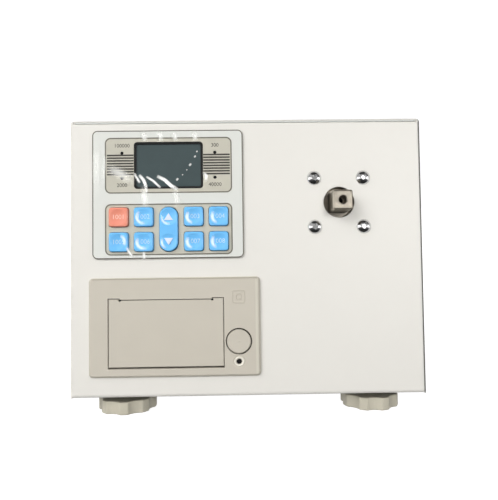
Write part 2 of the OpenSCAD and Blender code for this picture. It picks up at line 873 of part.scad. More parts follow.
module paper_door() {
    color("tan") on_printer() difference() {
        union() {
            translate([0, 0, door_face - door_t]) linear_extrude(door_t) door_outline(0);
            for (s = [-1, 0, 1]) door_knuckle(s * (door_w / 2 - knuckle_w));
            for (s = [-1, 1]) door_cheek(s);
            for (i = [-2 : 2]) door_rib(i * roll_w / 5);
        }
        cross_bar(pin_r + run_gap, -door_w, door_w, 0, hinge_out);
        cross_bar(shaft_small_r + run_gap, -door_w, door_w, platen_z, platen_y);
        cross_bar(platen_r + 3 * key_gap, -platen_w / 2 - key_gap, platen_w / 2 + key_gap, platen_z, platen_y);
    }
}

module door_knuckle(x) {
    cross_bar(knuckle_r, x - knuckle_w / 2, x + knuckle_w / 2, 0, hinge_out);
    translate([x - knuckle_w / 2, -knuckle_r, hinge_out]) cube([knuckle_w, 2 * knuckle_r, hinge_deep - door_t / 2]);
}

// Cheek that carries one end of the platen's shaft
module door_cheek(side) {
    x0 = side > 0 ? cheek_x : -cheek_x - cheek_t;
    side_profile(x0, x0 + cheek_t) difference() {
        union() {
            translate([platen_y, platen_z]) circle(platen_r - key_gap);
            polygon([[platen_y, platen_z - platen_r + key_gap], [door_face - door_t / 2, platen_z - 2 * platen_r],
                [door_face - door_t / 2, platen_z + platen_r], [platen_y, platen_z + platen_r - key_gap]]);
        }
        translate([platen_y, platen_z]) circle(shaft_small_r + run_gap);
    }
}

// Rib behind the door, cut to the curve of a full roll
module door_rib(x) {
    side_profile(x - case_t / 3, x + case_t / 3) difference() {
        translate([roll_y + roll_r, knuckle_r])
            square([door_face - door_t / 2 - roll_y - roll_r, platen_z - platen_r - 3 * knuckle_r]);
        translate([roll_y, roll_z]) circle(roll_r + 4 * cradle_gap);
    }
}

module door_pin() {
    color("silver") on_printer() cross_bar(pin_r, -door_w / 2 - pin_over, door_w / 2 + pin_over, 0, hinge_out);
}

module platen_shaft() {
    color("silver") on_printer() cross_bar(shaft_small_r, -gear_x - gear_w, gear_x + gear_w, platen_z, platen_y);
}

module platen_roller() {
    color("black") on_printer() difference() {
        cross_bar(platen_r, -platen_w / 2, platen_w / 2, platen_z, platen_y);
        cross_bar(shaft_small_r, -platen_w, platen_w, platen_z, platen_y);
    }
}

// Point of a tooth's flank: the involute of the base circle, at radius r, turned by the angle a
function inv_angle(base, r) = sqrt(max(r * r / (base * base) - 1, 0)) * 180 / PI - acos(min(base / r, 1));
function flank(base, r, a, side) = [r * cos(a + side * inv_angle(base, r)), r * sin(a + side * inv_angle(base, r))];

// Involute gear outline with the given teeth, its first tooth's middle turned to the angle phase
module gear_outline(teeth, phase) {
    pitch_r = gear_module * teeth / 2;
    base = pitch_r * cos(pressure_angle);
    root = pitch_r - root_share * gear_module;
    tip = pitch_r + gear_module;
    low = max(base, root);
    half = 90 / teeth - gear_backlash / pitch_r * 90 / PI + inv_angle(base, pitch_r);
    polygon([for (i = [0 : teeth - 1]) let (mid = phase + i * 360 / teeth) each concat(
        [[root * cos(mid - half), root * sin(mid - half)]],
        [for (k = [0 : tooth_steps]) flank(base, low + (tip - low) * k / tooth_steps, mid - half, 1)],
        [for (k = [tooth_steps : -1 : 0]) flank(base, low + (tip - low) * k / tooth_steps, mid + half, -1)],
        [[root * cos(mid + half), root * sin(mid + half)]])]);
}

// Gear beside the left side plate, drawn on (out, up) about its own axis
module gear(teeth, phase, bore, y, z) {
    side_profile(-gear_x - gear_w, -gear_x) translate([y, z]) difference() {
        gear_outline(teeth, phase);
        circle(bore);
    }
}

// Phases that leave a tooth of one gear in a gap of the next, along the line between their axes
mesh_a = 180 + swing_angle;
idler_phase = mesh_a - 180;
platen_phase = mesh_a + 180 / platen_teeth;
idler_to_pinion = round((pinion_angle - idler_phase) * idler_teeth / 360) * 360 / idler_teeth + idler_phase;
pinion_phase = pinion_angle + 180 + 180 / pinion_teeth
    + (pinion_angle - idler_to_pinion) * idler_teeth / pinion_teeth;

module platen_gear() {
    color("white") on_printer() gear(platen_teeth, platen_phase, shaft_small_r, platen_y, platen_z);
}

module idler_gear() {
    color("white") on_printer() gear(idler_teeth, idler_phase, shaft_small_r + run_gap, idler_y, idler_z);
}

module motor_pinion() {
    color("gold") on_printer() {
        gear(pinion_teeth, pinion_phase, motor_shaft_r, pinion_y, pinion_z);
        cross_bar(motor_shaft_r, -gear_x - gear_w, -frame_x + motor_l / 2, pinion_z, pinion_y);
    }
}

// Steel frame: two side plates with slots for the platen's shaft, and a bridge over the top
module mech_frame() {
    color("lightsteelblue") on_printer() {
        for (s = [-1, 1]) difference() {
            side_profile(s > 0 ? frame_x : -frame_x - frame_t, s > 0 ? frame_x + frame_t : -frame_x) difference() {
                translate([frame_back, frame_low]) square([frame_front - frame_back, frame_top - frame_low]);
                translate([platen_y, platen_z]) circle(slot_half);
                translate([platen_y, platen_z]) rotate(swing_angle)
                    translate([0, -slot_half]) square([frame_front - frame_back, 2 * slot_half]);
            }
            cross_bar(2 * motor_shaft_r, -frame_x - 2 * frame_t, -frame_x + frame_t, pinion_z, pinion_y);
        }
        translate([-frame_x, frame_top - frame_t, frame_back])
            cube([2 * frame_x, frame_t, (frame_front - frame_back) * bridge_share]);
        cross_bar(shaft_small_r, -gear_x - gear_w, -frame_x - frame_t, idler_z, idler_y);
        cross_bar(lever_pin_r, frame_x + frame_t, lever_x + lever_t, lever_z, lever_y);
    }
}

// Thermal head on its heat sink, tangent to the platen, between the two side plates
module print_head() {
    reach = platen_r + head_gap;
    color("dimgray") on_printer() side_profile(-frame_x, frame_x) translate([platen_y, platen_z])
        rotate(180 - head_angle) translate([reach, -head_h / 2]) square([head_t, head_h]);
}

// Bent leaf from the frame's bridge to the back of the head
module head_spring() {
    back = platen_r + head_gap + head_t;
    tip_y = platen_y - back * cos(head_angle);
    tip_z = platen_z + back * sin(head_angle);
    root_y = frame_back + (frame_front - frame_back) * bridge_share;
    half = 6 * leaf_t;
    color("silver") on_printer() for (x = [-platen_w / 4, platen_w / 4]) side_profile(x - half, x + half)
        polygon([[root_y - half, frame_top - frame_t], [root_y - half, frame_top - frame_t - leaf_t],
            [root_y - leaf_t, frame_top - frame_t - leaf_t], [tip_y - leaf_t, tip_z], [tip_y, tip_z],
            [root_y, frame_top - frame_t]]);
}

module feed_motor() {
    color("silver") on_printer() difference() {
        cross_bar(motor_r, -frame_x, -frame_x + motor_l, pinion_z, pinion_y);
        cross_bar(motor_shaft_r + run_gap, -frame_x - over, -frame_x + motor_l / 2 + seat_gap, pinion_z, pinion_y);
    }
}

module open_button() {
    color("tan") on_printer() translate([button_x, button_z, 0]) {
        difference() {
            rotate_extrude() polygon([[0, -button_deep], [button_r, -button_deep],
                [button_r, bezel_out + button_rise - key_edge], [button_r - key_edge, bezel_out + button_rise],
                [0, bezel_out + button_rise]]);
            translate([0, 0, bezel_out + button_rise - dish_depth / 2 + 4 * dish_ball]) sphere(4 * dish_ball, $fn = 360);
        }
        bar(button_stem_r, guide_y - guide_t - seat_gap - collar_t, -button_deep);
        bar(collar_r, guide_y - guide_t - seat_gap - collar_t, guide_y - guide_t - seat_gap);
    }
}

// Coil spring between the button and its guide
module button_spring() {
    color("silver") on_printer() translate([button_x, button_z, 0])
        coil(spring_r, spring_wire_r, guide_y + spring_wire_r, -button_deep - spring_wire_r, spring_turns);
}

// Round wire wound as a helix between two heights
module coil(radius, wire, low, high, turns) {
    per_turn = 20;
    sides = 6;
    rings = turns * per_turn;
    rise = (high - low) / rings;
    points = [for (i = [0 : rings], k = [0 : sides - 1])
        let (a = i * 360 / per_turn, b = k * 360 / sides, r = radius + wire * cos(b))
        [r * cos(a), r * sin(a), low + i * rise + wire * sin(b)]];
    skin = [for (i = [0 : rings - 1], k = [0 : sides - 1])
        let (a = i * sides + k, b = i * sides + (k + 1) % sides)
        each [[a, b, b + sides], [a, b + sides, a + sides]]];
    ends = [[for (k = [sides - 1 : -1 : 0]) k], [for (k = [0 : sides - 1]) rings * sides + k]];
    polyhedron(points, concat(skin, ends));
}

// Lever that the button pushes at its foot, so that its head pushes the platen's shaft forward
module kick_lever() {
    head_y = platen_y - shaft_small_r - lever_gap;
    bar_y = guide_y - guide_t - seat_gap - collar_t - 3 * seat_gap - lever_bar_r;
    color("tan") on_printer() difference() {
        union() {
            side_profile(lever_x, lever_x + lever_t) {
                translate([lever_y, lever_z]) circle(lever_eye_r);
                polygon([[lever_y - lever_eye_r, lever_z], [head_y - lever_t, platen_z + lever_t],
                    [head_y, platen_z + lever_t], [head_y, platen_z - lever_t], [lever_y + lever_eye_r, lever_z]]);
                polygon([[lever_y - lever_eye_r, lever_z], [bar_y - lever_bar_r, button_z],
                    [bar_y + lever_bar_r, button_z], [lever_y + lever_eye_r, lever_z]]);
            }
            cross_bar(lever_bar_r, lever_x, button_x + collar_r, button_z, bar_y);
        }
        cross_bar(lever_pin_r + run_gap, lever_x - over, lever_x + lever_t + over, lever_z, lever_y);
    }
}

module paper_roll() {
    color("white") on_printer() difference() {
        cross_bar(roll_r, -roll_w / 2, roll_w / 2, roll_z, roll_y);
        cross_bar(core_r, -roll_w, roll_w, roll_z, roll_y);
    }
}

module printer_board() {
    color("seagreen") on_printer() translate([bezel_x, bezel_z, 0])
        slab(case_w - case_t, case_h - case_t, bezel_r / 2, -case_d - board_t, -case_d);
}

module printer_led() {
    color("black") on_printer() translate([button_x, printer_led_z, 0]) {
        bar(printer_led_r, -tray_t * 2, bezel_out / 2);
        bar(printer_led_r + 3 * key_gap, -tray_t * 2, 0);
    }
}

// Drive and sensor

module on_drive() {
    on_face(drive_x, drive_z) children();
}

module screw_circle() {
    for (sx = [-1, 1], sy = [-1, 1]) translate([sx * screw_pitch / 2, sy * screw_pitch / 2, 0]) children();
}

// Torsion shaft: male square, round shoulder and journal, thin neck, and a hub fixed in the sleeve's end
module drive_shaft() {
    rear = -tray_t - flange_t - sleeve_l;
    color("silver") on_drive() difference() {
        union() {
            intersection() {
                square_profile();
                rotate([0, 0, 90]) square_profile();
                bar(square_round, square_root - over, square_out);
            }
            bar(shaft_r, square_root - journal_l, square_root);
            bar(neck_r, rear, square_root);
            bar(sleeve_bore_r - run_gap, rear, rear + rear_hub_l);
            bar(sleeve_r, rear - rear_cap_t, rear);
        }
        bar(centre_hole_r, square_out - centre_hole_deep, square_out + over);
        translate([0, 0, square_out - centre_cone]) cylinder(h = centre_cone + over, r1 = centre_hole_r,
            r2 = centre_hole_r + centre_cone + over);
    }
}

// Square bar seen from the side, with its two front edges chamfered
module square_profile() {
    half = square_w / 2;
    translate([0, half, 0]) rotate([90, 0, 0]) linear_extrude(square_w)
        polygon([[-half, square_root - over], [half, square_root - over], [half, square_out - square_chamfer],
            [half - square_chamfer, square_out], [square_chamfer - half, square_out],
            [-half, square_out - square_chamfer]]);
}

module drive_bush() {
    color("goldenrod") on_drive() difference() {
        bar(shaft_r + bush_t, square_root - bush_l, square_root + bush_y + tray_t);
        bar(shaft_r + run_gap, square_root - bush_l - over, over);
    }
}

module sensor_body() {
    color("lightgray") on_drive() difference() {
        union() {
            bar(sensor_flange_r, -tray_t - flange_t, -tray_t);
            bar(sleeve_r, -tray_t - flange_t - sleeve_l, -tray_t);
        }
        bar(drive_hole_r, -tray_t - flange_t, over);
        bar(sleeve_bore_r, -tray_t - flange_t - sleeve_l - over, square_root + bush_y + tray_t);
        screw_circle() bar(screw_r + screw_clear, -tray_t - flange_t - over, over);
    }
}

module drive_screws() {
    color("silver") on_drive() screw_circle()
        button_screw(screw_r, tray_t + flange_t + plate_t, button_head_r, button_head_h, hex_r, hex_deep);
}

// Heavy angle that ties the sensor to the base
module reaction_bracket() {
    drop = drive_z - stand_h - tray_t;
    waist = stand_h + printer_low + bezel_h - drive_z;
    color("slategray") difference() {
        on_drive() {
            bar(plate_w / 2, bracket_y - plate_t, bracket_y);
            translate([0, 0, bracket_y - plate_t]) linear_extrude(plate_t)
                polygon([[bracket_left, -drop], [bracket_right, -drop], [plate_w / 2, plate_foot - drop],
                    [plate_w / 2, 0], [-plate_w / 2, 0], [bracket_left, waist]]);
            translate([bracket_left, -drop, bracket_y - plate_foot])
                cube([bracket_right - bracket_left, plate_t, plate_foot]);
            for (x = [bracket_left, bracket_right - plate_t]) side_profile(x, x + plate_t)
                polygon([[bracket_y, -drop], [bracket_y - plate_foot, -drop],
                    [bracket_y - plate_foot, plate_t - drop], [bracket_y - plate_t, plate_foot - drop],
                    [bracket_y, plate_foot - drop]]);
        }
        on_drive() {
            bar(sleeve_r + seat_gap, bracket_y - plate_t - over, over);
            screw_circle() bar(screw_r + run_gap, bracket_y - plate_t - over, over);
        }
        bracket_bolts() bar(screw_r + run_gap, -over, 2 * plate_t);
    }
}

// Places children at the bracket's screws, zero on the underside of the base
module bracket_bolts() {
    inset = plate_t + bracket_screw_side;
    for (x = [bracket_left + inset, bracket_right - inset], y = bracket_screw_y)
        translate([drive_x + x, face_y - bracket_y + y, stand_h]) children();
}

module bracket_screws() {
    color("silver") bracket_bolts() mirror([0, 0, 1])
        button_screw(screw_r, tray_t + plate_t, button_head_r, button_head_h, hex_r, hex_deep);
}

// Electronics

module main_board() {
    color("seagreen") translate([board_x, board_y, stand_h + tray_t + post_h]) {
        translate([-board_w / 2, -board_d / 2, 0]) cube([board_w, board_d, board_t]);
        for (c = chip_boxes) translate([c[0] - c[2] / 2, c[1] - c[3] / 2, board_t]) cube([c[2], c[3], c[4]]);
    }
}

module board_posts() {
    color("gold") for (sx = [-1, 1], sy = [-1, 1])
        translate([board_x + sx * (board_w / 2 - post_in), board_y + sy * (board_d / 2 - post_in), stand_h + tray_t])
            cylinder(h = post_h, r = 2 * m3_r, $fn = 6);
}

// Flat pack of cells in a shrink sleeve
module battery_pack() {
    pack_l = cell_d * cell_count;
    color("royalblue") translate([battery_x, battery_y, stand_h + tray_t + cell_d / 2]) rotate([90, 0, 90])
        translate([0, 0, -cell_l / 2]) linear_extrude(cell_l) rrect(pack_l, cell_d, cell_d / 2 - run_gap);
}

module battery_clamp() {
    pack_l = cell_d * cell_count + 2 * seat_gap;
    color("silver") translate([battery_x - strap_w / 2, battery_y, stand_h + tray_t]) rotate([90, 0, 90])
        linear_extrude(strap_w) {
            difference() {
                translate([-pack_l / 2 - strap_t, 0]) square([pack_l + 2 * strap_t, cell_d + seat_gap + strap_t]);
                translate([-pack_l / 2, -over]) square([pack_l, cell_d + seat_gap + over]);
            }
            for (s = [-1, 1]) translate([s * (pack_l / 2 + strap_t / 2 + strap_foot / 2), strap_t / 2])
                square([strap_foot + strap_t, strap_t], center = true);
        }
}

module dc_jack() {
    color("black") translate([jack_x, rear_y, socket_z]) rotate([90, 0, 0]) {
        difference() {
            union() {
                bar(jack_r, -jack_nut_t, jack_l);
                bar(jack_nut_r, -jack_nut_t, 0);
                bar(jack_nut_r, tray_t, 2 * tray_t);
            }
            bar(jack_bore_r, -jack_nut_t - over, jack_bore_l);
        }
        bar(jack_pin_r, 0, jack_bore_l);
    }
}

module usb_socket() {
    color("silver") translate([usb_x, rear_y, socket_z]) rotate([90, 0, 0]) {
        difference() {
            union() {
                slab(usb_w, usb_h, usb_wall, 0, usb_l);
                slab(usb_w + 2 * usb_flange, usb_h + 2 * usb_flange, usb_wall, tray_t, 2 * tray_t);
            }
            slab(usb_w - 2 * usb_wall, usb_h - 2 * usb_wall, usb_wall / 2, -over, usb_l - usb_wall);
        }
        slab(usb_tongue_w, usb_tongue_h, usb_wall / 2, usb_wall, usb_l - usb_wall / 2);
    }
}

// Flat cable from the back of the key board, over the printer and down to the main board
module panel_ribbon() {
    start_z = panel_z - panel_h / 2 + 3 * panel_r;
    start_y = face_y - board_z + board_t;
    turn_y = face_y + case_d + 4 * board_t;
    end_z = stand_h + tray_t + post_h + board_t;
    end_y = board_y - board_d / 2 + post_in + ribbon_t;
    color("lightgray") translate([ribbon_x - ribbon_w / 2, 0, 0]) rotate([90, 0, 90])
        linear_extrude(ribbon_w) polygon([[start_y, start_z], [turn_y + ribbon_t, start_z],
            [turn_y + ribbon_t, end_z + 6 * ribbon_t], [end_y, end_z + 6 * ribbon_t], [end_y, end_z],
            [end_y - ribbon_t, end_z], [end_y - ribbon_t, end_z + 5 * ribbon_t], [turn_y, end_z + 5 * ribbon_t],
            [turn_y, start_z - ribbon_t], [start_y, start_z - ribbon_t]]);
}

chassis_tray();
cover();
cover_screws();
at_foot(-1, face_y + foot_in_y) foot_knob();  // foot_knob_fl
at_foot(1, face_y + foot_in_y) foot_knob();  // foot_knob_fr
at_foot(-1, rear_y - foot_in_y) foot_knob();  // foot_knob_rl
at_foot(1, rear_y - foot_in_y) foot_knob();  // foot_knob_rr
at_foot(-1, face_y + foot_in_y) foot_stud();  // foot_stud_fl
at_foot(1, face_y + foot_in_y) foot_stud();  // foot_stud_fr
at_foot(-1, rear_y - foot_in_y) foot_stud();  // foot_stud_rl
at_foot(1, rear_y - foot_in_y) foot_stud();  // foot_stud_rr
foot_nuts();
panel_plate();
display_label();
key_label();
lcd_window();
lcd_module();
indicator_leds();
key_board();
key_switches();
at_key(-2, 1) color("tomato") square_key();  // key_red
at_key(-1, 1) color("deepskyblue") square_key();  // key_top_2
at_key(1, 1) color("deepskyblue") square_key();  // key_top_4
at_key(2, 1) color("deepskyblue") square_key();  // key_top_5
at_key(-2, -1) color("deepskyblue") square_key();  // key_low_1
at_key(-1, -1) color("deepskyblue") square_key();  // key_low_2
at_key(1, -1) color("deepskyblue") square_key();  // key_low_4
at_key(2, -1) color("deepskyblue") square_key();  // key_low_5
rocker_key();
printer_case();
paper_door();
door_pin();
platen_shaft();
platen_roller();
platen_gear();
mech_frame();
print_head();
head_spring();
feed_motor();
motor_pinion();
idler_gear();
open_button();
button_spring();
kick_lever();
paper_roll();
printer_board();
printer_led();
sensor_body();
drive_shaft();
drive_bush();
drive_screws();
reaction_bracket();
bracket_screws();
main_board();
board_posts();
battery_pack();
battery_clamp();
dc_jack();
usb_socket();
panel_ribbon();
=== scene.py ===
import bpy
import math
import numpy as np
from mathutils import Matrix, Vector


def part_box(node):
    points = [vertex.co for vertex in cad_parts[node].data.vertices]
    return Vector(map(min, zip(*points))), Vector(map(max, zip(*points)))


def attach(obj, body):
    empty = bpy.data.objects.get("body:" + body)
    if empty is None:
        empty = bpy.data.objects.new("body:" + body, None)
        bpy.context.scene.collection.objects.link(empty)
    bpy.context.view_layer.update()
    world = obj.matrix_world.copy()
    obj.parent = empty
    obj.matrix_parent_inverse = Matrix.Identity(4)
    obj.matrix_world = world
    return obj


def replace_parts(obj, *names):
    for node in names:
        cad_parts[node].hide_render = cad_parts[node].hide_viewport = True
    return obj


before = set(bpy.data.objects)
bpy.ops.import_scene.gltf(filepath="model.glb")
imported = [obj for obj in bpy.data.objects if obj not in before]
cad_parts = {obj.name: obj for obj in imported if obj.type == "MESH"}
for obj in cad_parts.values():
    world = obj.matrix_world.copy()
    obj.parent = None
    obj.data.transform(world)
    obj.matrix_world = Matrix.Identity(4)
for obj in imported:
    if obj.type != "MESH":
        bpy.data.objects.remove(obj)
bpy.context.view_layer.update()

# ---- Viewpoint ----
# A hand-held camera 0.3 m in front of the white face and level with its middle, rolled by less
# than a degree. Its tilts and distance come from the straight edges of the front.
face_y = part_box("chassis_tray")[0].y
half_height = 0.0905
middle_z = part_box("cover")[1].z - half_height
tilt = (Matrix.Rotation(math.radians(-0.73), 3, "Z") @ Matrix.Rotation(math.radians(-0.79), 3, "Y")
        @ Matrix.Rotation(math.radians(-1.96), 3, "X"))
eye = tilt.transposed() @ Vector((0.00101, -0.0042, -0.30459))
right, down, ahead = (Vector((row[0], row[2], -row[1])) for row in tilt)
camera = bpy.data.objects.new("camera", bpy.data.cameras.new("camera"))
bpy.context.scene.collection.objects.link(camera)
camera.matrix_world = Matrix.Translation((eye.x, face_y + eye.z, middle_z - eye.y)) @ Matrix(
    (right, -down, -ahead)).transposed().to_4x4()
sensor_mm, focal_px, picture_px = 36, 465, 500
camera.data.sensor_width = sensor_mm
camera.data.lens = sensor_mm * focal_px / picture_px
camera.data.clip_start = 0.01
bpy.context.scene.camera = camera
bpy.context.scene.view_settings.view_transform = "Standard"


# ---- Studio ----
# White paper on the table and curved up behind, a large soft light from the left, a small one in
# front and one for the rear. Cards that only show in gloss stand for a wall on the left, a wall
# with a window on the right, a dark ceiling and a dark floor.
def colour(red, green, blue):
    """Linear colour of a display colour in 0..255: each channel is ((c + 0.055) / 1.055) to the power 2.4."""
    share = np.array([red, green, blue]) / 255
    return (*np.where(share > 0.04045, ((share + 0.055) / 1.055) ** 2.4, share / 12.92), 1.0)


def flat_stage(name, points, faces):
    """Sheet of the studio, from its corner points and faces, kept out of the tester's own pieces."""
    mesh = bpy.data.meshes.new(name)
    mesh.from_pydata([tuple(point) for point in points], [], faces)
    mesh.polygons.foreach_set("use_smooth", [True] * len(mesh.polygons))
    sheet = bpy.data.objects.new(name, mesh)
    bpy.context.scene.collection.objects.link(sheet)
    made = bpy.data.materials.new(name)
    made.use_nodes = True
    mesh.materials.append(made)
    return sheet, made.node_tree.nodes["Principled BSDF"]


paper_out = np.concatenate([np.linspace(-3, 1.4, 12), 1.4 + 0.8 * np.sin(np.linspace(0.1, math.pi / 2, 14)), [2.2]])
paper_up = np.concatenate([np.zeros(12), 0.8 - 0.8 * np.cos(np.linspace(0.1, math.pi / 2, 14)), [3.5]])
paper, paper_look = flat_stage(
    "paper", [(x, y, z) for y, z in zip(paper_out, paper_up) for x in (-3.5, 3.5)],
    [(2 * i, 2 * i + 1, 2 * i + 3, 2 * i + 2) for i in range(len(paper_out) - 1)])
paper_look.inputs["Base Color"].default_value = (0.3, 0.3, 0.3, 1)
paper_look.inputs["Roughness"].default_value = 0.9
paper_look.inputs["Emission Color"].default_value = (1, 1, 1, 1)
paper_look.inputs["Emission Strength"].default_value = 0.95
paper.visible_diffuse = False
for name, low, high, glow in (("dark_above", (-0.4, -0.8, 0.9), (0.5, -0.11, 0.9), 0),
                              ("dark_below", (-0.5, -0.8, 0.006), (0.6, -0.11, 0.006), 0),
                              ("wall_left", (-1.0, -1.5, -0.05), (-1.0, -0.2, 0.4), 2.2),
                              ("wall_right", (1.0, -1.5, -0.05), (1.0, -0.2, 0.4), 2.2),
                              ("window_right", (0.6, -1.99, 0.12), (0.95, -1.99, 0.62), 9)):
    flat = [i for i in range(3) if low[i] == high[i]][0]
    first, second = [i for i in range(3) if i != flat]
    corners = [list(low) for _ in range(4)]
    corners[1][first] = corners[2][first] = high[first]
    corners[2][second] = corners[3][second] = high[second]
    card, card_look = flat_stage(name, corners, [(0, 1, 2, 3)])
    card_look.inputs["Base Color"].default_value = (0.01, 0.01, 0.01, 1)
    card_look.inputs["Emission Color"].default_value = (1, 1, 1, 1)
    card_look.inputs["Emission Strength"].default_value = glow
    card.visible_camera = card.visible_diffuse = card.visible_shadow = card.visible_transmission = False
dome_r, turns, rises = 6, 32, 16
turn, rise = np.meshgrid(np.linspace(0, 2 * np.pi, turns + 1), np.linspace(-np.pi / 2, np.pi / 2, rises + 1),
                         indexing="ij")
dome = dome_r * np.stack([np.cos(turn) * np.cos(rise), np.sin(turn) * np.cos(rise), np.sin(rise)], -1)
row = rises + 1
backdrop, backdrop_look = flat_stage("backdrop", dome.reshape(-1, 3), [
    (row * i + j, row * i + j + 1, row * (i + 1) + j + 1, row * (i + 1) + j)
    for i in range(turns) for j in range(rises)])
backdrop_look.inputs["Emission Color"].default_value = (1, 1, 1, 1)
backdrop_look.inputs["Emission Strength"].default_value = 0.95
for hidden in ("diffuse", "glossy", "shadow", "transmission"):
    setattr(backdrop, "visible_" + hidden, False)

room = bpy.data.worlds.new("room")
room.use_nodes = True
room_nodes, room_links = room.node_tree.nodes, room.node_tree.links
way, facing, level = (room_nodes.new("ShaderNode" + kind) for kind in ("TexCoord", "VectorMath", "MapRange"))
facing.operation = "DOT_PRODUCT"
facing.inputs[1].default_value = (-0.72, -0.55, 0.3)
level.inputs["From Min"].default_value, level.inputs["From Max"].default_value = -0.9, 0.9
level.inputs["To Min"].default_value, level.inputs["To Max"].default_value = 0.01, 0.52
room_links.new(way.outputs["Generated"], facing.inputs[0])
room_links.new(facing.outputs["Value"], level.inputs["Value"])
room_links.new(level.outputs["Result"], room_nodes["Background"].inputs["Strength"])
room_nodes["Background"].inputs["Color"].default_value = (1, 0.995, 0.98, 1)
bpy.context.scene.world = room


def soft_light(name, place, aim, size, watts, tint):
    """Square area light of the given size in metres at place, turned so that it faces aim."""
    lamp = bpy.data.lights.new(name, "AREA")
    lamp.size, lamp.energy, lamp.color = size, watts, tint
    stand = bpy.data.objects.new(name, lamp)
    bpy.context.scene.collection.objects.link(stand)
    stand.location = place
    stand.rotation_euler = (Vector(aim) - Vector(place)).to_track_quat("-Z", "Y").to_euler()
    return stand


for lamp in (soft_light("light_left", (-1.0, -1.3, 0.9), (0, -0.1, 0.1), 1.1, 18.5, (1, 0.99, 0.985)),
             soft_light("light_front", (0.7, -1.9, 0.6), (0.05, -0.1, 0.1), 0.5, 13.5, (1, 0.995, 0.985)),
             soft_light("light_rear", (0.4, 2.0, 0.9), (0, 0.1, 0.1), 1.1, 16, (1, 0.995, 0.985))):
    lamp.visible_glossy = False


# ---- Case ----
# Steel sheet, folded and powder coated in a warm white with a very fine grain: the tray carries the
# front and rear, the cover goes over the top and sides, and four small black screws hold it. The cover's
# front edge has painted shade, darkest on the right, and a strip in the painted grey shade of the top edge
# covers the top seam and its shadow.
def finish(name, tint, rough, metal=0.0, grain=0.0004, relief=0.00001, mottle=0.02, edge=0.00025, coat=0.0,
           stretch=(1, 1, 1)):
    """Material whose colour and gloss wander by the share mottle over patches of forty grains, and whose surface
    rises and falls by relief on noise of the size grain, drawn out along an axis where stretch is below 1. Its
    sharp edges are shaded as if rounded to the radius edge."""
    made = bpy.data.materials.new(name)
    made.use_nodes = True
    nodes, links = made.node_tree.nodes, made.node_tree.links
    shader = nodes["Principled BSDF"]
    shader.inputs["Metallic"].default_value = metal
    shader.inputs["Coat Weight"].default_value = coat
    shader.inputs["Coat Roughness"].default_value = 0.08
    place, drawn = nodes.new("ShaderNodeTexCoord"), nodes.new("ShaderNodeMapping")
    drawn.inputs["Scale"].default_value = stretch
    links.new(place.outputs["Object"], drawn.inputs["Vector"])
    fine, broad = nodes.new("ShaderNodeTexNoise"), nodes.new("ShaderNodeTexNoise")
    for noise, size in ((fine, grain), (broad, 40 * grain)):
        noise.inputs["Scale"].default_value = 1 / size
        noise.inputs["Detail"].default_value = 3
        links.new(drawn.outputs["Vector"], noise.inputs["Vector"])
    ramp = nodes.new("ShaderNodeValToRGB")
    for stop, share, level in ((ramp.color_ramp.elements[0], 0.3, 1 - mottle),
                               (ramp.color_ramp.elements[1], 0.7, 1 + mottle)):
        stop.position = share
        stop.color = (*[min(1, c * level) for c in tint[:3]], 1)
    links.new(broad.outputs["Fac"], ramp.inputs["Fac"])
    links.new(ramp.outputs["Color"], shader.inputs["Base Color"])
    gloss = nodes.new("ShaderNodeMapRange")
    gloss.inputs["To Min"].default_value = rough * 0.85
    gloss.inputs["To Max"].default_value = min(1, rough * 1.15)
    links.new(fine.outputs["Fac"], gloss.inputs["Value"])
    links.new(gloss.outputs["Result"], shader.inputs["Roughness"])
    bump, round_edge = nodes.new("ShaderNodeBump"), nodes.new("ShaderNodeBevel")
    round_edge.samples = 6
    round_edge.inputs["Radius"].default_value = edge
    bump.inputs["Distance"].default_value = relief
    bump.inputs["Strength"].default_value = 1
    links.new(fine.outputs["Fac"], bump.inputs["Height"])
    links.new(round_edge.outputs["Normal"], bump.inputs["Normal"])
    links.new(bump.outputs["Normal"], shader.inputs["Normal"])
    return made


def dress(made, *names):
    """Puts one material on the named CAD nodes, in place of what they came with."""
    for name in names:
        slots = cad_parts[name].data.materials
        slots.clear()
        slots.append(made)


def where(made, value, low, high, low_share, high_share):
    """Scales a material's colour by a share that runs from low_share to high_share while a value of the object's
    own coordinates goes from low to high. The value is X, Y or Z, up for the way that the surface faces, or a point
    for the distance from the line through it along the one axis on which it is None."""
    nodes, links = made.node_tree.nodes, made.node_tree.links
    place, parts = nodes.new("ShaderNodeTexCoord"), nodes.new("ShaderNodeSeparateXYZ")
    links.new(place.outputs["Normal" if value == "up" else "Object"], parts.inputs["Vector"])
    source = parts.outputs[value if value in ("X", "Y") else "Z"]
    if isinstance(value, tuple):
        flat, away = nodes.new("ShaderNodeVectorMath"), nodes.new("ShaderNodeVectorMath")
        flat.operation, away.operation = "MULTIPLY_ADD", "LENGTH"
        flat.inputs[1].default_value = [float(share is not None) for share in value]
        flat.inputs[2].default_value = [-(share or 0) for share in value]
        links.new(place.outputs["Object"], flat.inputs[0])
        links.new(flat.outputs["Vector"], away.inputs[0])
        source = away.outputs["Value"]
    level, scaled = nodes.new("ShaderNodeMapRange"), nodes.new("ShaderNodeVectorMath")
    level.inputs["From Min"].default_value, level.inputs["From Max"].default_value = low, high
    level.inputs["To Min"].default_value, level.inputs["To Max"].default_value = low_share, high_share
    links.new(source, level.inputs["Value"])
    scaled.operation = "SCALE"
    colour_in = made.node_tree.nodes["Principled BSDF"].inputs["Base Color"]
    links.new(colour_in.links[0].from_socket, scaled.inputs[0])
    links.new(level.outputs["Result"], scaled.inputs["Scale"])
    links.new(scaled.outputs["Vector"], colour_in)


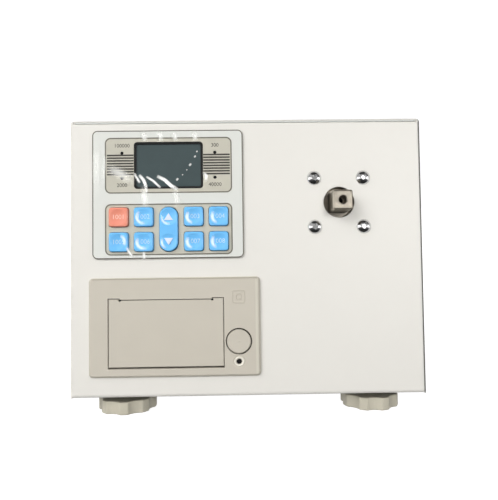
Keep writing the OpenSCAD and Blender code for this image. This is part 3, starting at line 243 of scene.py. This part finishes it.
cover_low, cover_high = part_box("cover")
for name, node, edge in (("warm_white_front", "chassis_tray", 0.0006), ("warm_white_wrap", "cover", 0.0011)):
    coat = finish(name, colour(230, 228, 222), 0.42, grain=0.00035, relief=0.000012, mottle=0.006, edge=edge)
    dress(coat, node)
# Painted shade on the cover's front edge: near black along the right side, a little darker along the top.
where(coat, (cover_high.x, cover_low.y, None), 0.0007, 0.0011, 0.16, 1)
where(coat, (None, cover_low.y, cover_high.z), 0.0009, 0.0014, 0.8, 1)
dress(finish("black_oxide", colour(38, 38, 40), 0.35, metal=0.9, grain=0.0002, mottle=0.1), "cover_screws")


# ---- Levelling feet ----
# Moulded knobs in a warm grey plastic, with eight shallow flutes for the fingers, on zinc plated
# studs that screw through nuts on the base.
def closed_form(name, rings, made, body):
    """Skin over a stack of rings (k, n, 3), joined ring to ring and closed by a fan at each end. It is turned
    right side out by the sign of its volume, the sum of a x b . c over its corners."""
    rings = np.asarray(rings, float)
    count, around = rings.shape[:2]
    points = np.concatenate([rings.reshape(-1, 3), [rings[0].mean(0)], [rings[-1].mean(0)]])
    i, j = np.meshgrid(np.arange(count - 1), np.arange(around), indexing="ij")
    after = (j + 1) % around
    quads = np.stack([i * around + j, i * around + after, (i + 1) * around + after, (i + 1) * around + j], -1)
    quads = quads.reshape(-1, 4)
    j = np.arange(around)
    after = (j + 1) % around
    first = np.stack([np.full(around, count * around), after, j], -1)
    last = np.stack([np.full(around, count * around + 1), (count - 1) * around + j, (count - 1) * around + after], -1)
    tris = np.concatenate([quads[:, [0, 1, 2]], quads[:, [0, 2, 3]], first, last])
    a, b, c = (points[tris[:, k]] for k in range(3))
    if (np.cross(a, b) * c).sum() < 0:
        quads, first, last = quads[:, ::-1], first[:, ::-1], last[:, ::-1]
    return put_mesh(name, points, quads.tolist() + first.tolist() + last.tolist(), made, body)


def put_mesh(name, points, faces, made, body, smooth=True):
    """Mesh of the points and faces as a piece at the origin that rides on a body, in a material."""
    mesh = bpy.data.meshes.new(name)
    mesh.from_pydata(np.asarray(points).tolist(), [], faces)
    mesh.polygons.foreach_set("use_smooth", [smooth] * len(mesh.polygons))
    mesh.materials.append(made)
    piece = bpy.data.objects.new(name, mesh)
    bpy.context.scene.collection.objects.link(piece)
    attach(piece, body)
    return piece


knob_r, knob_h, knob_edge, hub_r, hub_top = 0.0195, 0.0086, 0.0011, 0.0074, 0.0126
flute_deep, flute_r = 0.0019, 0.00975
knob_turn = np.linspace(0, 2 * np.pi, 320, endpoint=False)


def lobed(inset):
    """Outline of the knob, moved in by inset: the circle of its rim, cut by eight round flutes. Across a flute the
    radius is c cos a - sqrt(f^2 - c^2 sin^2 a), where c is the flute's distance and f its radius, and the two meet
    on a rounded ridge, by a soft minimum."""
    a = knob_turn % (np.pi / 4) - np.pi / 8
    far = knob_r - flute_deep + flute_r
    inside = np.clip(flute_r ** 2 - (far * np.sin(a)) ** 2, 0, None)
    cut = np.where(inside > 0, far * np.cos(a) - np.sqrt(inside), knob_r * 1.2)
    sharp = 9000.0
    radius = -np.log(np.exp(-sharp * cut) + np.exp(-sharp * knob_r)) / sharp - inset
    return np.stack([radius * np.cos(knob_turn), radius * np.sin(knob_turn)], -1)


def round_ring(radius):
    """Circle of the given radius with as many points as the knob's outline."""
    return np.stack([radius * np.cos(knob_turn), radius * np.sin(knob_turn)], -1)


corner = np.linspace(0, np.pi / 2, 7)
knob_profile = [(lobed(0.0065), 0.0), (lobed(0.0012), 0.0)]
knob_profile += [(lobed(knob_edge - knob_edge * np.sin(a)), knob_edge - knob_edge * np.cos(a)) for a in corner[1:]]
knob_profile += [(lobed(0.0), knob_h * 0.5)]
knob_profile += [(lobed(knob_edge - knob_edge * np.cos(a)), knob_h - knob_edge + knob_edge * np.sin(a))
                 for a in corner]
knob_profile += [(lobed(0.0035), knob_h), (round_ring(hub_r + 0.0012), knob_h),
                 (round_ring(hub_r + 0.0003), knob_h + 0.0004), (round_ring(hub_r), knob_h + 0.0012),
                 (round_ring(hub_r), hub_top - 0.0003), (round_ring(hub_r - 0.0003), hub_top),
                 (round_ring(0.0042), hub_top)]
knob_plastic = finish("warm_grey_plastic", colour(193, 188, 171), 0.5, grain=0.0006, relief=0.00003, mottle=0.03,
                      edge=0.0002)
# The upper faces are darker, because they lie in the shade under the case.
where(knob_plastic, "up", 0.6, 0.9, 1, 0.45)
for corner_name, turned in (("fl", -5), ("fr", 25), ("rl", 20), ("rr", -7)):
    low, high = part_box("foot_knob_" + corner_name)
    centre = np.array([(low.x + high.x) / 2, (low.y + high.y) / 2])
    turn = np.array(Matrix.Rotation(math.radians(turned), 2))
    rings = [np.concatenate([ring @ turn + centre, np.full((len(ring), 1), z)], 1) for ring, z in knob_profile]
    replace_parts(closed_form("knob_" + corner_name, rings, knob_plastic, "foot_" + corner_name),
                "foot_knob_" + corner_name)
zinc = finish("zinc_plate", (0.58, 0.58, 0.56, 1), 0.33, metal=1.0, grain=0.0009, relief=0.000006, mottle=0.12)
dress(zinc, "foot_stud_fl", "foot_stud_fr", "foot_stud_rl", "foot_stud_rr", "foot_nuts")

# ---- Control panel ----
# A moulded light grey plate with two beige printed films let into it. The lower one frames the keys,
# and the upper one the display window, with a block of fine lines and two lamp holes on each side.
panel_grey = finish("light_grey_panel", colour(221, 223, 218), 0.34, grain=0.0005, relief=0.000008, mottle=0.012,
                    edge=0.0004)
dress(panel_grey, "panel_plate")
beige_film = finish("beige_film", colour(196, 193, 179), 0.38, grain=0.00018, relief=0.000006, mottle=0.035,
                    edge=0.0001)
dress(beige_film, "display_label", "key_label")
panel_low, panel_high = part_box("panel_plate")
plate_out = face_y - panel_low.y
film_x = (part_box("key_label")[0].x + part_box("key_label")[1].x) / 2


def at_front(across, up, out):
    """Points (x, y, z) in metres from arrays across X, up Z and out of the front face."""
    across, up, out = np.broadcast_arrays(across, up, out)
    return np.stack([across, face_y - out, up], -1)


def corner_path(low_x, high_x, low_z, high_z, radius, steps=8):
    """Rounded rectangle as (n, 2) points: four quarter circles of the radius, one at each corner in turn."""
    a = np.concatenate([np.linspace(q, q + np.pi / 2, steps) for q in np.arange(4) * np.pi / 2])
    x = np.repeat([high_x - radius, low_x + radius, low_x + radius, high_x - radius], steps) + radius * np.cos(a)
    z = np.repeat([high_z - radius, high_z - radius, low_z + radius, low_z + radius], steps) + radius * np.sin(a)
    return np.stack([x, z], -1)


def frame_line(name, box_low, box_high, radius, width, low, high, made, body="root", inner_radius=None):
    """Flat frame round a box in the front face: a square section of the width, from low to high, carried round a
    rounded rectangle whose outside is the box. The inside keeps the same distance unless it has its own radius."""
    outer = corner_path(box_low.x, box_high.x, box_low.z, box_high.z, radius)
    inner = corner_path(box_low.x + width, box_high.x - width, box_low.z + width, box_high.z - width,
                        inner_radius or radius - width)
    rings = [at_front(p[:, 0], p[:, 1], o) for p, o in ((outer, low), (outer, high), (inner, high), (inner, low))]
    points = np.concatenate(rings)
    around = len(outer)
    i, j = np.meshgrid(np.arange(4), np.arange(around), indexing="ij")
    faces = np.stack([i * around + j, i * around + (j + 1) % around, (i + 1) % 4 * around + (j + 1) % around,
                      (i + 1) % 4 * around + j], -1).reshape(-1, 4)
    return put_mesh(name, points, faces.tolist(), made, body, smooth=False)


def bars(name, boxes, made, body="root"):
    """Many small blocks in one mesh, each from a row of (low x, high x, low z, high z, low out, high out)."""
    boxes = np.asarray(boxes, float)
    pick = np.array([(i, 2 + j, 4 + k) for i in (0, 1) for j in (0, 1) for k in (0, 1)])
    points = boxes[:, pick]
    sides = np.array([(0, 1, 3, 2), (4, 6, 7, 5), (0, 4, 5, 1), (2, 3, 7, 6), (0, 2, 6, 4), (1, 5, 7, 3)])
    faces = (sides[None] + 8 * np.arange(len(boxes))[:, None, None]).reshape(-1, 4)
    return put_mesh(name, at_front(points[..., 0], points[..., 1], points[..., 2]).reshape(-1, 3), faces.tolist(),
                    made, body, smooth=False)


film_edge_grey = finish("dark_olive_film_edge", colour(112, 109, 98), 0.5, grain=0.0002, mottle=0.08)
ink_black = finish("black_ink", colour(66, 64, 58), 0.5, grain=0.0002, mottle=0.08)
label_corner = 0.0038
# A dark olive line round the edge of each film.
for label in ("display_label", "key_label"):
    low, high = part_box(label)
    frame_line("edge_of_" + label, low, high, label_corner, 0.0008, plate_out - 0.0001, plate_out + 0.00004, film_edge_grey)
# Painted shade: a dark frame round the plate's edge, where it stands off the white sheet.
plate_edge_shade = finish("dark_plate_edge_shade", colour(96, 92, 82), 0.7, grain=0.0003, mottle=0.1)
frame_line("panel_plate_edge_shade", panel_low - Vector((0.0003, 0, 0.0003)), panel_high + Vector((0.0003, 0, 0.0003)),
           0.0033, 0.0006, 0.0, plate_out + 0.00002, plate_edge_shade)
film_low, film_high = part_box("display_label")
lcd_half_x, lcd_half_z = 0.02265, 0.0155
lcd_left, lcd_right = film_x - lcd_half_x, film_x + lcd_half_x
line_top, line_pitch, line_half = 0.0672, 0.0018, 0.00053
lines_z = middle_z + line_top - line_pitch * np.arange(8)
line_boxes = [(a, b, z - line_half, z + line_half, plate_out - 0.00005, plate_out + 0.00004)
              for z in lines_z for a, b in ((film_low.x + 0.0013, lcd_left - 0.0001),
                                            (lcd_right + 0.0001, film_high.x - 0.0013))]
bars("printed_lines", line_boxes, ink_black)


def figures(name, word, x, z, tall, low, high, made, body="root", drop=None):
    """Plain figures as a solid mesh in the front face, centred on x and z: filled outlines from low to high, which
    sink with the surface by drop, a function of the points about that centre."""
    writing = bpy.data.curves.new(name, "FONT")
    writing.body, writing.size, writing.extrude = word, tall / 0.7, (high - low) / 2
    writing.align_x, writing.align_y = "CENTER", "CENTER"
    holder = bpy.data.objects.new(name, writing)
    bpy.context.scene.collection.objects.link(holder)
    drawn = bpy.data.meshes.new_from_object(holder.evaluated_get(bpy.context.evaluated_depsgraph_get()))
    bpy.data.objects.remove(holder)
    points = np.array([corner.co for corner in drawn.vertices])
    faces = [list(face.vertices) for face in drawn.polygons]
    out = (low + high) / 2 + points[:, 2] - (drop(points[:, :2]) if drop else 0)
    return put_mesh(name, at_front(x + points[:, 0], z + points[:, 1], out), faces, made, body, smooth=False)


lamp_x, lamp_z = 0.0304, 0.0083
lcd_z = (film_low.z + film_high.z) / 2
for word, side, up in (("100000", -1, 1), ("2000", -1, -1), ("300", 1, 1), ("40000", 1, -1)):
    figures("figures_" + word, word, film_x + side * lamp_x, lcd_z + up * (lamp_z + 0.0047), 0.0024, plate_out,
            plate_out + 0.00003, ink_black)

# A strip painted in the grey shade of the top edge lies over the seam between the tray's front and the
# cover's top, and hides the seam's own shadow.
tray_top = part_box("chassis_tray")[1].z
bars("top_seam_shade_strip", [(cover_low.x + 0.003, cover_high.x - 0.003, tray_top - 0.0006, tray_top + 0.0001, -0.0011,
                      -0.0001)], finish("painted_top_edge_shade", colour(206, 209, 206), 0.5, mottle=0.01))

# ---- Display ----
# A dark grey green window behind the plate, with the display's glass and metal frame under it. The
# lamps behind the four small holes are off, and the light that creases of a clear film catch is painted on.
window_dark = finish("display_window", colour(62, 77, 79), 0.12, grain=0.0003, relief=0.000002, mottle=0.05,
                     edge=0.0003, coat=0.6)
dress(window_dark, "lcd_window")
dress(finish("display_glass", colour(58, 70, 70), 0.2, mottle=0.05), "lcd_module")
lamp_black = finish("lamp_off", colour(7, 7, 8), 0.6, mottle=0.05)
dress(lamp_black, "indicator_leds", "printer_led")
window_black = finish("window_border", colour(12, 14, 15), 0.3, mottle=0.05)
glass_out = face_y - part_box("lcd_window")[0].y
frame_line("window_border", Vector((lcd_left, 0, lcd_z - lcd_half_z)), Vector((lcd_right, 0, lcd_z + lcd_half_z)),
           0.0002, 0.0015, glass_out - 0.00002, plate_out - 0.00005, window_black, inner_radius=0.0013)
cut = 0.0004
frame_line("window_cutout", Vector((lcd_left - cut, 0, lcd_z - lcd_half_z - cut)),
           Vector((lcd_right + cut, 0, lcd_z + lcd_half_z + cut)), cut, 0.00045, plate_out - 0.00004,
           plate_out + 0.00002, beige_film, inner_radius=0.0022)


def round_lens(name, x, z, radius, low, high, made, slot):
    """Low dome in a lamp's hole: rings of radius cos t at the height low + (high - low) sin t, closed at the back."""
    turn = np.linspace(0, 2 * np.pi, 32, endpoint=False)
    rings = [at_front(x + radius * np.cos(t) * np.cos(turn), z + radius * np.cos(t) * np.sin(turn),
                      low + (high - low) * math.sin(t)) for t in np.linspace(1.5, 0, 8)]
    rings.append(at_front(x + radius * np.cos(turn), z + radius * np.sin(turn), low - 0.0006))
    closed_form(name, rings, made, "root")


for number, (side, up) in enumerate(((-1, 1), (-1, -1), (1, 1), (1, -1))):
    round_lens(f"lamp_lens_{number}", film_x + side * lamp_x, lcd_z + up * lamp_z, 0.00108, plate_out - 0.0005,
               plate_out - 0.0001, lamp_black, "lamp")


def veil(name, path, width, cover, made, fade=0.6, lift=0.0001, body="root", soft=1.0):
    """Painted streak of light on the film, along points (x, z) in millimetres from the middle of the front, resampled
    to even steps. The attribute veil, which the film's material takes as its cover, falls off as 1 - u^2 to the
    power soft from the middle, u = 0, to either side, and as (sin pi t) to the power fade towards both ends."""
    path = np.asarray(path, float) / 1000
    steps, across = 24, 9
    t, share = np.linspace(0, 1, steps), np.linspace(0, 1, len(path))
    x, z = np.interp(t, share, path[:, 0]), np.interp(t, share, path[:, 1])
    for _ in range(4):
        x[1:-1], z[1:-1] = (x[:-2] + 2 * x[1:-1] + x[2:]) / 4, (z[:-2] + 2 * z[1:-1] + z[2:]) / 4
    dx, dz = np.gradient(x), np.gradient(z)
    reach = np.hypot(dx, dz)
    u = np.concatenate([np.linspace(-1, 1, across), np.linspace(1, -1, across)])
    side = width / 2000 * u
    thick = np.repeat([0.00002, 0.0], across)
    rings = [at_front(x[i] + dz[i] / reach[i] * side, middle_z + z[i] - dx[i] / reach[i] * side,
                      plate_out + lift + thick) for i in range(steps)]
    piece = closed_form(name, rings, made, body)
    piece.visible_shadow = False
    piece.data.polygons.foreach_set("use_smooth", [False] * len(piece.data.polygons))
    level = cover * np.sin(np.pi * t)[:, None] ** fade * np.where(thick > 0, 1 - u * u, 0) ** soft
    spread = piece.data.attributes.new("veil", "FLOAT", "POINT")
    spread.data.foreach_set("value", np.concatenate([level.ravel(), [0, 0]]).clip(0, 1))


film = finish("painted_film_glare", colour(253, 254, 252), 0.35, grain=0.0003, relief=0.000002, mottle=0.01, edge=0.00001)
film_cover = film.node_tree.nodes.new("ShaderNodeAttribute")
film_cover.attribute_name = "veil"
film_shader = film.node_tree.nodes["Principled BSDF"]
film.node_tree.links.new(film_cover.outputs["Fac"], film_shader.inputs["Alpha"])
# The film's painted glare also glows a little of its own.
film_shader.inputs["Emission Color"].default_value = (1, 1, 0.98, 1)
film_shader.inputs["Emission Strength"].default_value = 0.18
# Painted highlights on the film: each streak is a path of (x, z) in millimetres, a width and a cover.
streaks = [
    ([(-73.4, 55.5), (-71.6, 52), (-69.6, 48.8)], 2.0, 1.0),
    ([(-70.4, 54.4), (-67.4, 51), (-66, 47.5), (-65.2, 42)], 2.6, 1.1),
    ([(-65.8, 53.2), (-61, 50.2), (-56, 45.4)], 1.9, 0.95),
    ([(-58.8, 53.4), (-53.5, 50.8), (-49.5, 47), (-44.6, 44)], 2.8, 1.1),
    ([(-55, 51.6), (-51, 47.8), (-48.6, 45)], 1.4, 0.8),
    ([(-28.4, 55.8), (-26.2, 53), (-26.8, 49)], 3.4, 0.9),
    ([(-67.6, 48), (-66.8, 40), (-66.2, 31.5)], 6.4, 0.5),
    ([(-48, 45.6), (-46, 40), (-44.8, 32)], 5.4, 0.34),
    ([(-92, 59.4), (-83, 55.4), (-72.6, 49.4)], 9, 0.5),
    ([(-97.8, 73), (-98.4, 60), (-97.4, 44)], 7.4, 0.27),
    ([(-94, 50), (-92.6, 60), (-92.4, 70)], 3.4, 0.3)]
wide_from = 3.3
for number, (path, width, cover) in enumerate(streaks):
    wide = width > wide_from
    veil(f"film_streak_{number}", path, width, cover, film, 1.2 if wide else 0.5, soft=2.2 if wide else 1.0)
for number, (x, z, size) in enumerate(((-32.3, 69.3, 1.1), (-33.6, 66, 1.4), (-36.8, 60.6, 1.8), (-45.3, 51, 1.7),
                                       (-39, 57.2, 0.8), (-41.8, 54, 0.8))):
    veil(f"film_glint_{number}", [(x - 0.4 * size, z - 0.5 * size), (x + 0.4 * size, z + 0.5 * size)], size, 0.6, film)
for number, x in enumerate((-66.7, -56.2, -46.6, -33.5)):
    veil(f"film_fold_{number}", [(x - 1, 82.8), (x, 79), (x + 0.8, 75.6)], 5.0, 0.48, film, 1.2, soft=2.2)
for number, path in enumerate(([(-78.2, 7), (-76.4, 3.6), (-73.6, 0)], [(-67, 4), (-66.8, 1.4), (-66.6, -1.4)])):
    veil(f"film_low_{number}", path, 2.8, 0.7, film, lift=0.0022, soft=1.8)

# ---- Keys ----
# Moulded caps in a semi-gloss plastic, light blue and one red. Each has rounded edges and a shallow
# round dish for the finger, and the long one in the middle rocks between an up and a down arrow.
def dish(points, deep=0.0009, dish_r=0.00525):
    """How far a round dish sinks at (n, 2) points about its centre: deep (1 - r^2 / R^2), smoothed at the lip."""
    inside = 1 - (points ** 2).sum(1) / dish_r ** 2
    return deep * (inside + np.sqrt(inside * inside + 0.05 ** 2)) / 2


def key_cap(name, x, z, outline, dish_places, made, body, node, rise=0.002, edge_r=0.0007):
    """Cap on an outline of (n, 2) points about its centre. The top is 48 shrunken copies of the outline, lowered at
    each dish; the edge is a quarter circle; the side widens slightly towards the plate and is closed below it."""
    top = plate_out + rise
    outline = np.asarray(outline)
    length = np.hypot(outline[:, 0], outline[:, 1])[:, None]
    rings = []
    for share in np.linspace(0.02, 1, 48):
        ring = outline * share * (1 - edge_r / length)
        sunk = np.max([dish(ring - (0, place)) for place in dish_places], 0)
        rings.append(at_front(x + ring[:, 0], z + ring[:, 1], top - sunk))
    for a in np.linspace(0, np.pi / 2, 7)[1:]:
        ring = outline * (1 - edge_r * (1 - np.sin(a)) / length)
        rings.append(at_front(x + ring[:, 0], z + ring[:, 1], top - edge_r * (1 - np.cos(a))))
    for out, grow in ((plate_out + 0.0006, 0.0001), (plate_out - 0.0002, 0.0002), (-0.0026, 0.0002)):
        ring = outline * (1 + grow / length)
        rings.append(at_front(x + ring[:, 0], z + ring[:, 1], out))
    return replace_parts(closed_form(name, rings, made, body), node)


blue_plastic = finish("light_blue_plastic", colour(114, 195, 254), 0.2, grain=0.0003, relief=0.000004, mottle=0.03,
                      edge=0.0001, coat=0.25)
red_plastic = finish("coral_red_plastic", colour(241, 150, 127), 0.2, grain=0.0003, relief=0.000004, mottle=0.03,
                     edge=0.0001, coat=0.2)
key_angle = np.linspace(0, 2 * np.pi, 128, endpoint=False)
key_half = 0.0062
square_reach = key_half / (np.abs(np.cos(key_angle)) ** 8 + np.abs(np.sin(key_angle)) ** 8) ** (1 / 8)
square_outline = np.stack([square_reach * np.cos(key_angle), square_reach * np.sin(key_angle)], -1)
square_keys = ("key_red", "key_top_2", "key_top_4", "key_top_5", "key_low_1", "key_low_2", "key_low_4", "key_low_5")
for name in square_keys:
    low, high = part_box(name)
    red = name == "key_red"
    key_cap("cap_" + name, (low.x + high.x) / 2, (low.z + high.z) / 2, square_outline, [0.0],
            red_plastic if red else blue_plastic, name, name)
rocker_low, rocker_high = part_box("rocker_key")
rocker_x, rocker_z = (rocker_low.x + rocker_high.x) / 2, (rocker_low.z + rocker_high.z) / 2
rocker_r, rocker_straight, rocker_dish = 0.00595, 0.0084, 0.0081
rocker_outline = np.stack([rocker_r * np.cos(key_angle), rocker_r * np.sin(key_angle)
                           + rocker_straight * np.tanh(np.sin(key_angle) * 9)], -1)
key_cap("cap_rocker", rocker_x, rocker_z, rocker_outline, [rocker_dish, -rocker_dish], blue_plastic, "rocker_key",
        "rocker_key")
white_print = finish("white_print", colour(226, 234, 248), 0.4, mottle=0.02)
pale_blue_print = finish("pale_blue_print", colour(186, 220, 248), 0.4, mottle=0.02)
pale_red_print = finish("pale_red_print", colour(252, 205, 188), 0.4, mottle=0.02)


def plate_of(name, corners, low, high, made, body):
    """Thin plate on a convex polygon of (n, 2) corners in the front face, from low to high."""
    corners = np.asarray(corners, float)
    rings = [at_front(corners[:, 0], corners[:, 1], low), at_front(corners[:, 0], corners[:, 1], high)]
    piece = closed_form(name, rings, made, body)
    piece.data.polygons.foreach_set("use_smooth", [False] * len(piece.data.polygons))
    return piece


arrow_tip, arrow_foot, arrow_half = 0.0104, 0.0058, 0.0029
for side, word in ((1, "up"), (-1, "down")):
    tip = rocker_z + side * arrow_tip
    foot = rocker_z + side * arrow_foot
    plate_of("arrow_" + word, [(rocker_x, tip), (rocker_x - arrow_half, foot), (rocker_x + arrow_half, foot)],
             plate_out + 0.001, plate_out + 0.00172, white_print, "rocker_key")

for number, name in enumerate(square_keys):
    low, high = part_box(name)
    red = name == "key_red"
    figures("figures_" + name, str(1001 + number), (low.x + high.x) / 2, (low.z + high.z) / 2, 0.0029,
            plate_out + 0.0018, plate_out + 0.00203, pale_red_print if red else pale_blue_print, name,
            dish)


# The film lies on the keys too, and its light is painted round the lower left of each blue dish.
def arc(x, z, radius, start, end):
    """Points (x, z) in millimetres from the middle of the front, on a circle about x and z given in metres."""
    return [((x + radius * math.cos(a)) * 1000, (z - middle_z + radius * math.sin(a)) * 1000)
            for a in np.radians(np.linspace(start, end, 9))]


for name, start, end, cover in (("key_top_2", 120, 290, 0.6), ("key_top_4", 135, 265, 0.7),
                                ("key_top_5", 135, 260, 0.6), ("key_low_1", 75, -35, 0.6),
                                ("key_low_2", 140, 300, 0.7), ("key_low_4", 140, 260, 0.65),
                                ("key_low_5", 130, 255, 0.6)):
    low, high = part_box(name)
    veil("shine_" + name, arc((low.x + high.x) / 2, (low.z + high.z) / 2, 0.0043, start, end), 2.7, cover, film,
         lift=0.0021, body=name)
for place, start, end in ((0.0078, 170, 290), (-0.0082, 150, 250)):
    veil(f"shine_rocker_{start}", arc(rocker_x, rocker_z + place, 0.0044, start, end), 2.2, 0.55, film, lift=0.0021,
         body="rocker_key")

# ---- Panel printer ----
# Warm grey moulded bezel with a hinged paper door, a paper slot over it and a round button beside it.
# The case behind, and the door's back with its cheeks, are of the same plastic.
printer_plastic = finish("printer_plastic", colour(200, 194, 181), 0.5, grain=0.0004, relief=0.000014, mottle=0.012,
                         edge=0.0004)
dress(printer_plastic, "printer_case", "paper_door", "open_button")
dress(finish("lever_acetal", colour(232, 230, 220), 0.35, grain=0.0006, mottle=0.02), "kick_lever", "platen_gear",
      "idler_gear")
dress(finish("paper_white", colour(246, 246, 242), 0.7, grain=0.0001, relief=0.000005, mottle=0.01), "paper_roll")
dress(finish("platen_rubber", colour(40, 40, 42), 0.65, grain=0.0003, relief=0.00002, mottle=0.1), "platen_roller")
dress(finish("bright_shaft", (0.62, 0.61, 0.6, 1), 0.2, metal=1.0, grain=0.0005, mottle=0.06, stretch=(0.1, 1, 1)),
      "platen_shaft", "door_pin", "button_spring", "head_spring")
dress(finish("head_black", colour(50, 52, 58), 0.3, grain=0.0005, mottle=0.08, coat=0.3), "print_head")
dress(finish("pinion_brass", (0.72, 0.52, 0.22, 1), 0.25, metal=1.0, mottle=0.08), "motor_pinion")
dress(zinc, "mech_frame", "feed_motor")

button_low, button_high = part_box("open_button")
button_x, button_z = (button_low.x + button_high.x) / 2, (button_low.z + button_high.z) / 2
bezel_low, bezel_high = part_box("printer_case")
bezel_out = face_y - bezel_low.y
mark_half, mark_foot, mark_top = 0.0041, 0.0303, 0.0219
for number, inset in enumerate((0.0, 0.0022)):
    frame_line(f"raised_mark_{number}", Vector((button_x - mark_half + inset, 0, middle_z - mark_foot + inset)),
               Vector((button_x + mark_half - inset, 0, middle_z - mark_top - inset)), 0.0012 - inset / 4, 0.0005,
               bezel_out - 0.0001, bezel_out + 0.0003, printer_plastic)
# A painted highlight down the bezel's right edge, and a painted shade line along its top.
bezel_highlight = finish("painted_bezel_highlight", colour(208, 204, 190), 0.45, grain=0.0004, relief=0.000014, mottle=0.012)
bezel_shade = finish("painted_bezel_shade", colour(172, 165, 149), 0.6, grain=0.0004, relief=0.000014, mottle=0.012)
bars("bezel_edge_highlight", [(bezel_high.x - 0.0031, bezel_high.x - 0.0015, middle_z - 0.0755, middle_z - 0.0147,
                     bezel_out - 0.0001, bezel_out + 0.00003)], bezel_highlight)
bars("bezel_top_shade", [(bezel_low.x + 0.002, bezel_high.x - 0.002, middle_z - 0.0142, middle_z - 0.0136,
                         bezel_out - 0.0003, bezel_out + 0.00001)], bezel_shade)


def ring_of(name, x, z, section, made, slot, lean=(0, 0)):
    """Ring in the front face that carries a section, a row of (radius, out, moved) in order round it, about x and z.
    Each circle is shifted by its share moved of lean, so that a flat ring can be wider on one side."""
    around = 96
    a = np.linspace(0, 2 * np.pi, around, endpoint=False)
    rings = np.stack([at_front(x + radius * np.cos(a) + moved * lean[0], z + radius * np.sin(a) + moved * lean[1], out)
                      for radius, out, moved in section])
    i, j = np.meshgrid(np.arange(len(section)), np.arange(around), indexing="ij")
    after, beside = (i + 1) % len(section) * around, (j + 1) % around
    faces = np.stack([i * around + j, i * around + beside, after + beside, after + j], -1).reshape(-1, 4)
    return put_mesh(name, rings.reshape(-1, 3), faces.tolist(), made, "root", smooth=len(section) > 4)


button_r = (button_high.x - button_low.x) / 2
gap_shade = finish("gap_shade", colour(48, 42, 32), 0.8)
ring_of("button_gap", button_x, button_z, [(button_r + 0.0007, bezel_out - 0.0001, 0),
                                           (button_r + 0.0007, bezel_out + 0.00002, 0),
                                           (button_r + 0.00012, bezel_out + 0.00002, 1),
                                           (button_r + 0.00012, bezel_out - 0.0001, 1)],
        gap_shade, "printer_plastic", (-0.00028, -0.0003))
door_low, door_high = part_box("paper_door")
door_mid, slot_half, gap, shade = (door_low.x + door_high.x) / 2, 0.0297, 0.0002, 0.0003
gap_x, gap_z = door_high.x - door_mid + gap, door_high.z + gap
gap_lines = [(gap_x, gap_x + shade, door_low.z - 0.0012, gap_z), (slot_half, gap_x + shade, gap_z, gap_z + shade)]
bars("door_gap", [(*sorted((door_mid + side * a, door_mid + side * b)), low, high, bezel_out - 0.0001,
                   bezel_out + 0.00002) for side in (-1, 1) for a, b, low, high in gap_lines],
     gap_shade)
printer_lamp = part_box("printer_led")
lamp_at = (printer_lamp[0].x + printer_lamp[1].x) / 2, (printer_lamp[0].z + printer_lamp[1].z) / 2
# A glossy ring round the printer's lamp, in a lighter plastic than the bezel: partly a painted highlight for the
# glints of the lamp's hole.
ring_of("lamp_ring", *lamp_at, [(0.0026 + 0.0006 * math.cos(b), bezel_out - 0.00035 + 0.0006 * math.sin(b), 0)
                                for b in np.linspace(0, 2 * math.pi, 16, endpoint=False)],
        finish("ring_plastic", colour(238, 234, 222), 0.12, mottle=0.02, coat=0.5), "printer_plastic")
round_lens("printer_lens", *lamp_at, 0.00165, bezel_out - 0.0011, bezel_out - 0.0006, lamp_black, "lamp")

# ---- Drive and sensor ----
# A ground steel shaft ends in the male square, in a bronze bush. Four bright button-head screws go
# through the white sheet and the sensor's flange into a grey painted angle on the base.
satin_nickel = finish("satin_nickel", (0.4, 0.362, 0.303, 1), 0.34, metal=1.0, grain=0.00012, relief=0.000006,
                      mottle=0.22, edge=0.0005)
drive_low, drive_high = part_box("drive_screws")
drive_x, drive_z = (drive_low.x + drive_high.x) / 2, (drive_low.z + drive_high.z) / 2
# Painted shade: near black in the centre hole, set off to the left so that a lit crescent stays on its right, and
# darker on the shaft behind the front face, in the recess.
where(satin_nickel, (drive_x - 0.0006, None, drive_z + 0.0001), 0.002, 0.0023, 0.02, 1)
where(satin_nickel, "Y", face_y + 0.0005, face_y - 0.0005, 0.62, 1)
dress(satin_nickel, "drive_shaft")
# The bush's bronze is darkened almost to black: painted shade in the hole round the shaft.
dress(finish("bronze", (0.2, 0.15, 0.09, 1), 0.4, metal=1.0, mottle=0.1), "drive_bush")
dress(finish("polished_steel", (0.72, 0.72, 0.72, 1), 0.12, metal=1.0, grain=0.0006, relief=0.000003, mottle=0.05,
             edge=0.0003), "drive_screws", "bracket_screws")
dress(finish("turned_steel", (0.5, 0.5, 0.49, 1), 0.35, metal=1.0, grain=0.0004, relief=0.00001, mottle=0.1,
             stretch=(1, 0.05, 1)), "sensor_body")
dress(finish("grey_enamel", colour(92, 98, 104), 0.45, grain=0.0008, relief=0.00002, mottle=0.05, edge=0.0008),
      "reaction_bracket")

# ---- Electronics ----
# Green boards on brass posts, black switches and sockets, a battery in a blue sleeve under a strap,
# and a flat grey cable from the key board.
dress(finish("board_green", colour(24, 92, 58), 0.35, grain=0.0008, mottle=0.15, coat=0.3), "main_board",
      "key_board", "printer_board")
dress(finish("post_brass", (0.7, 0.52, 0.24, 1), 0.3, metal=1.0, mottle=0.08), "board_posts")
dress(finish("switch_black", colour(30, 30, 32), 0.45, mottle=0.08), "key_switches", "dc_jack")
dress(finish("battery_sleeve", colour(36, 70, 150), 0.25, grain=0.002, relief=0.00005, mottle=0.06, coat=0.3),
      "battery_pack")
dress(zinc, "battery_clamp", "usb_socket")
dress(finish("cable_grey", colour(150, 152, 156), 0.5, grain=0.0006, mottle=0.05, stretch=(1, 0.05, 0.05)),
      "panel_ribbon")
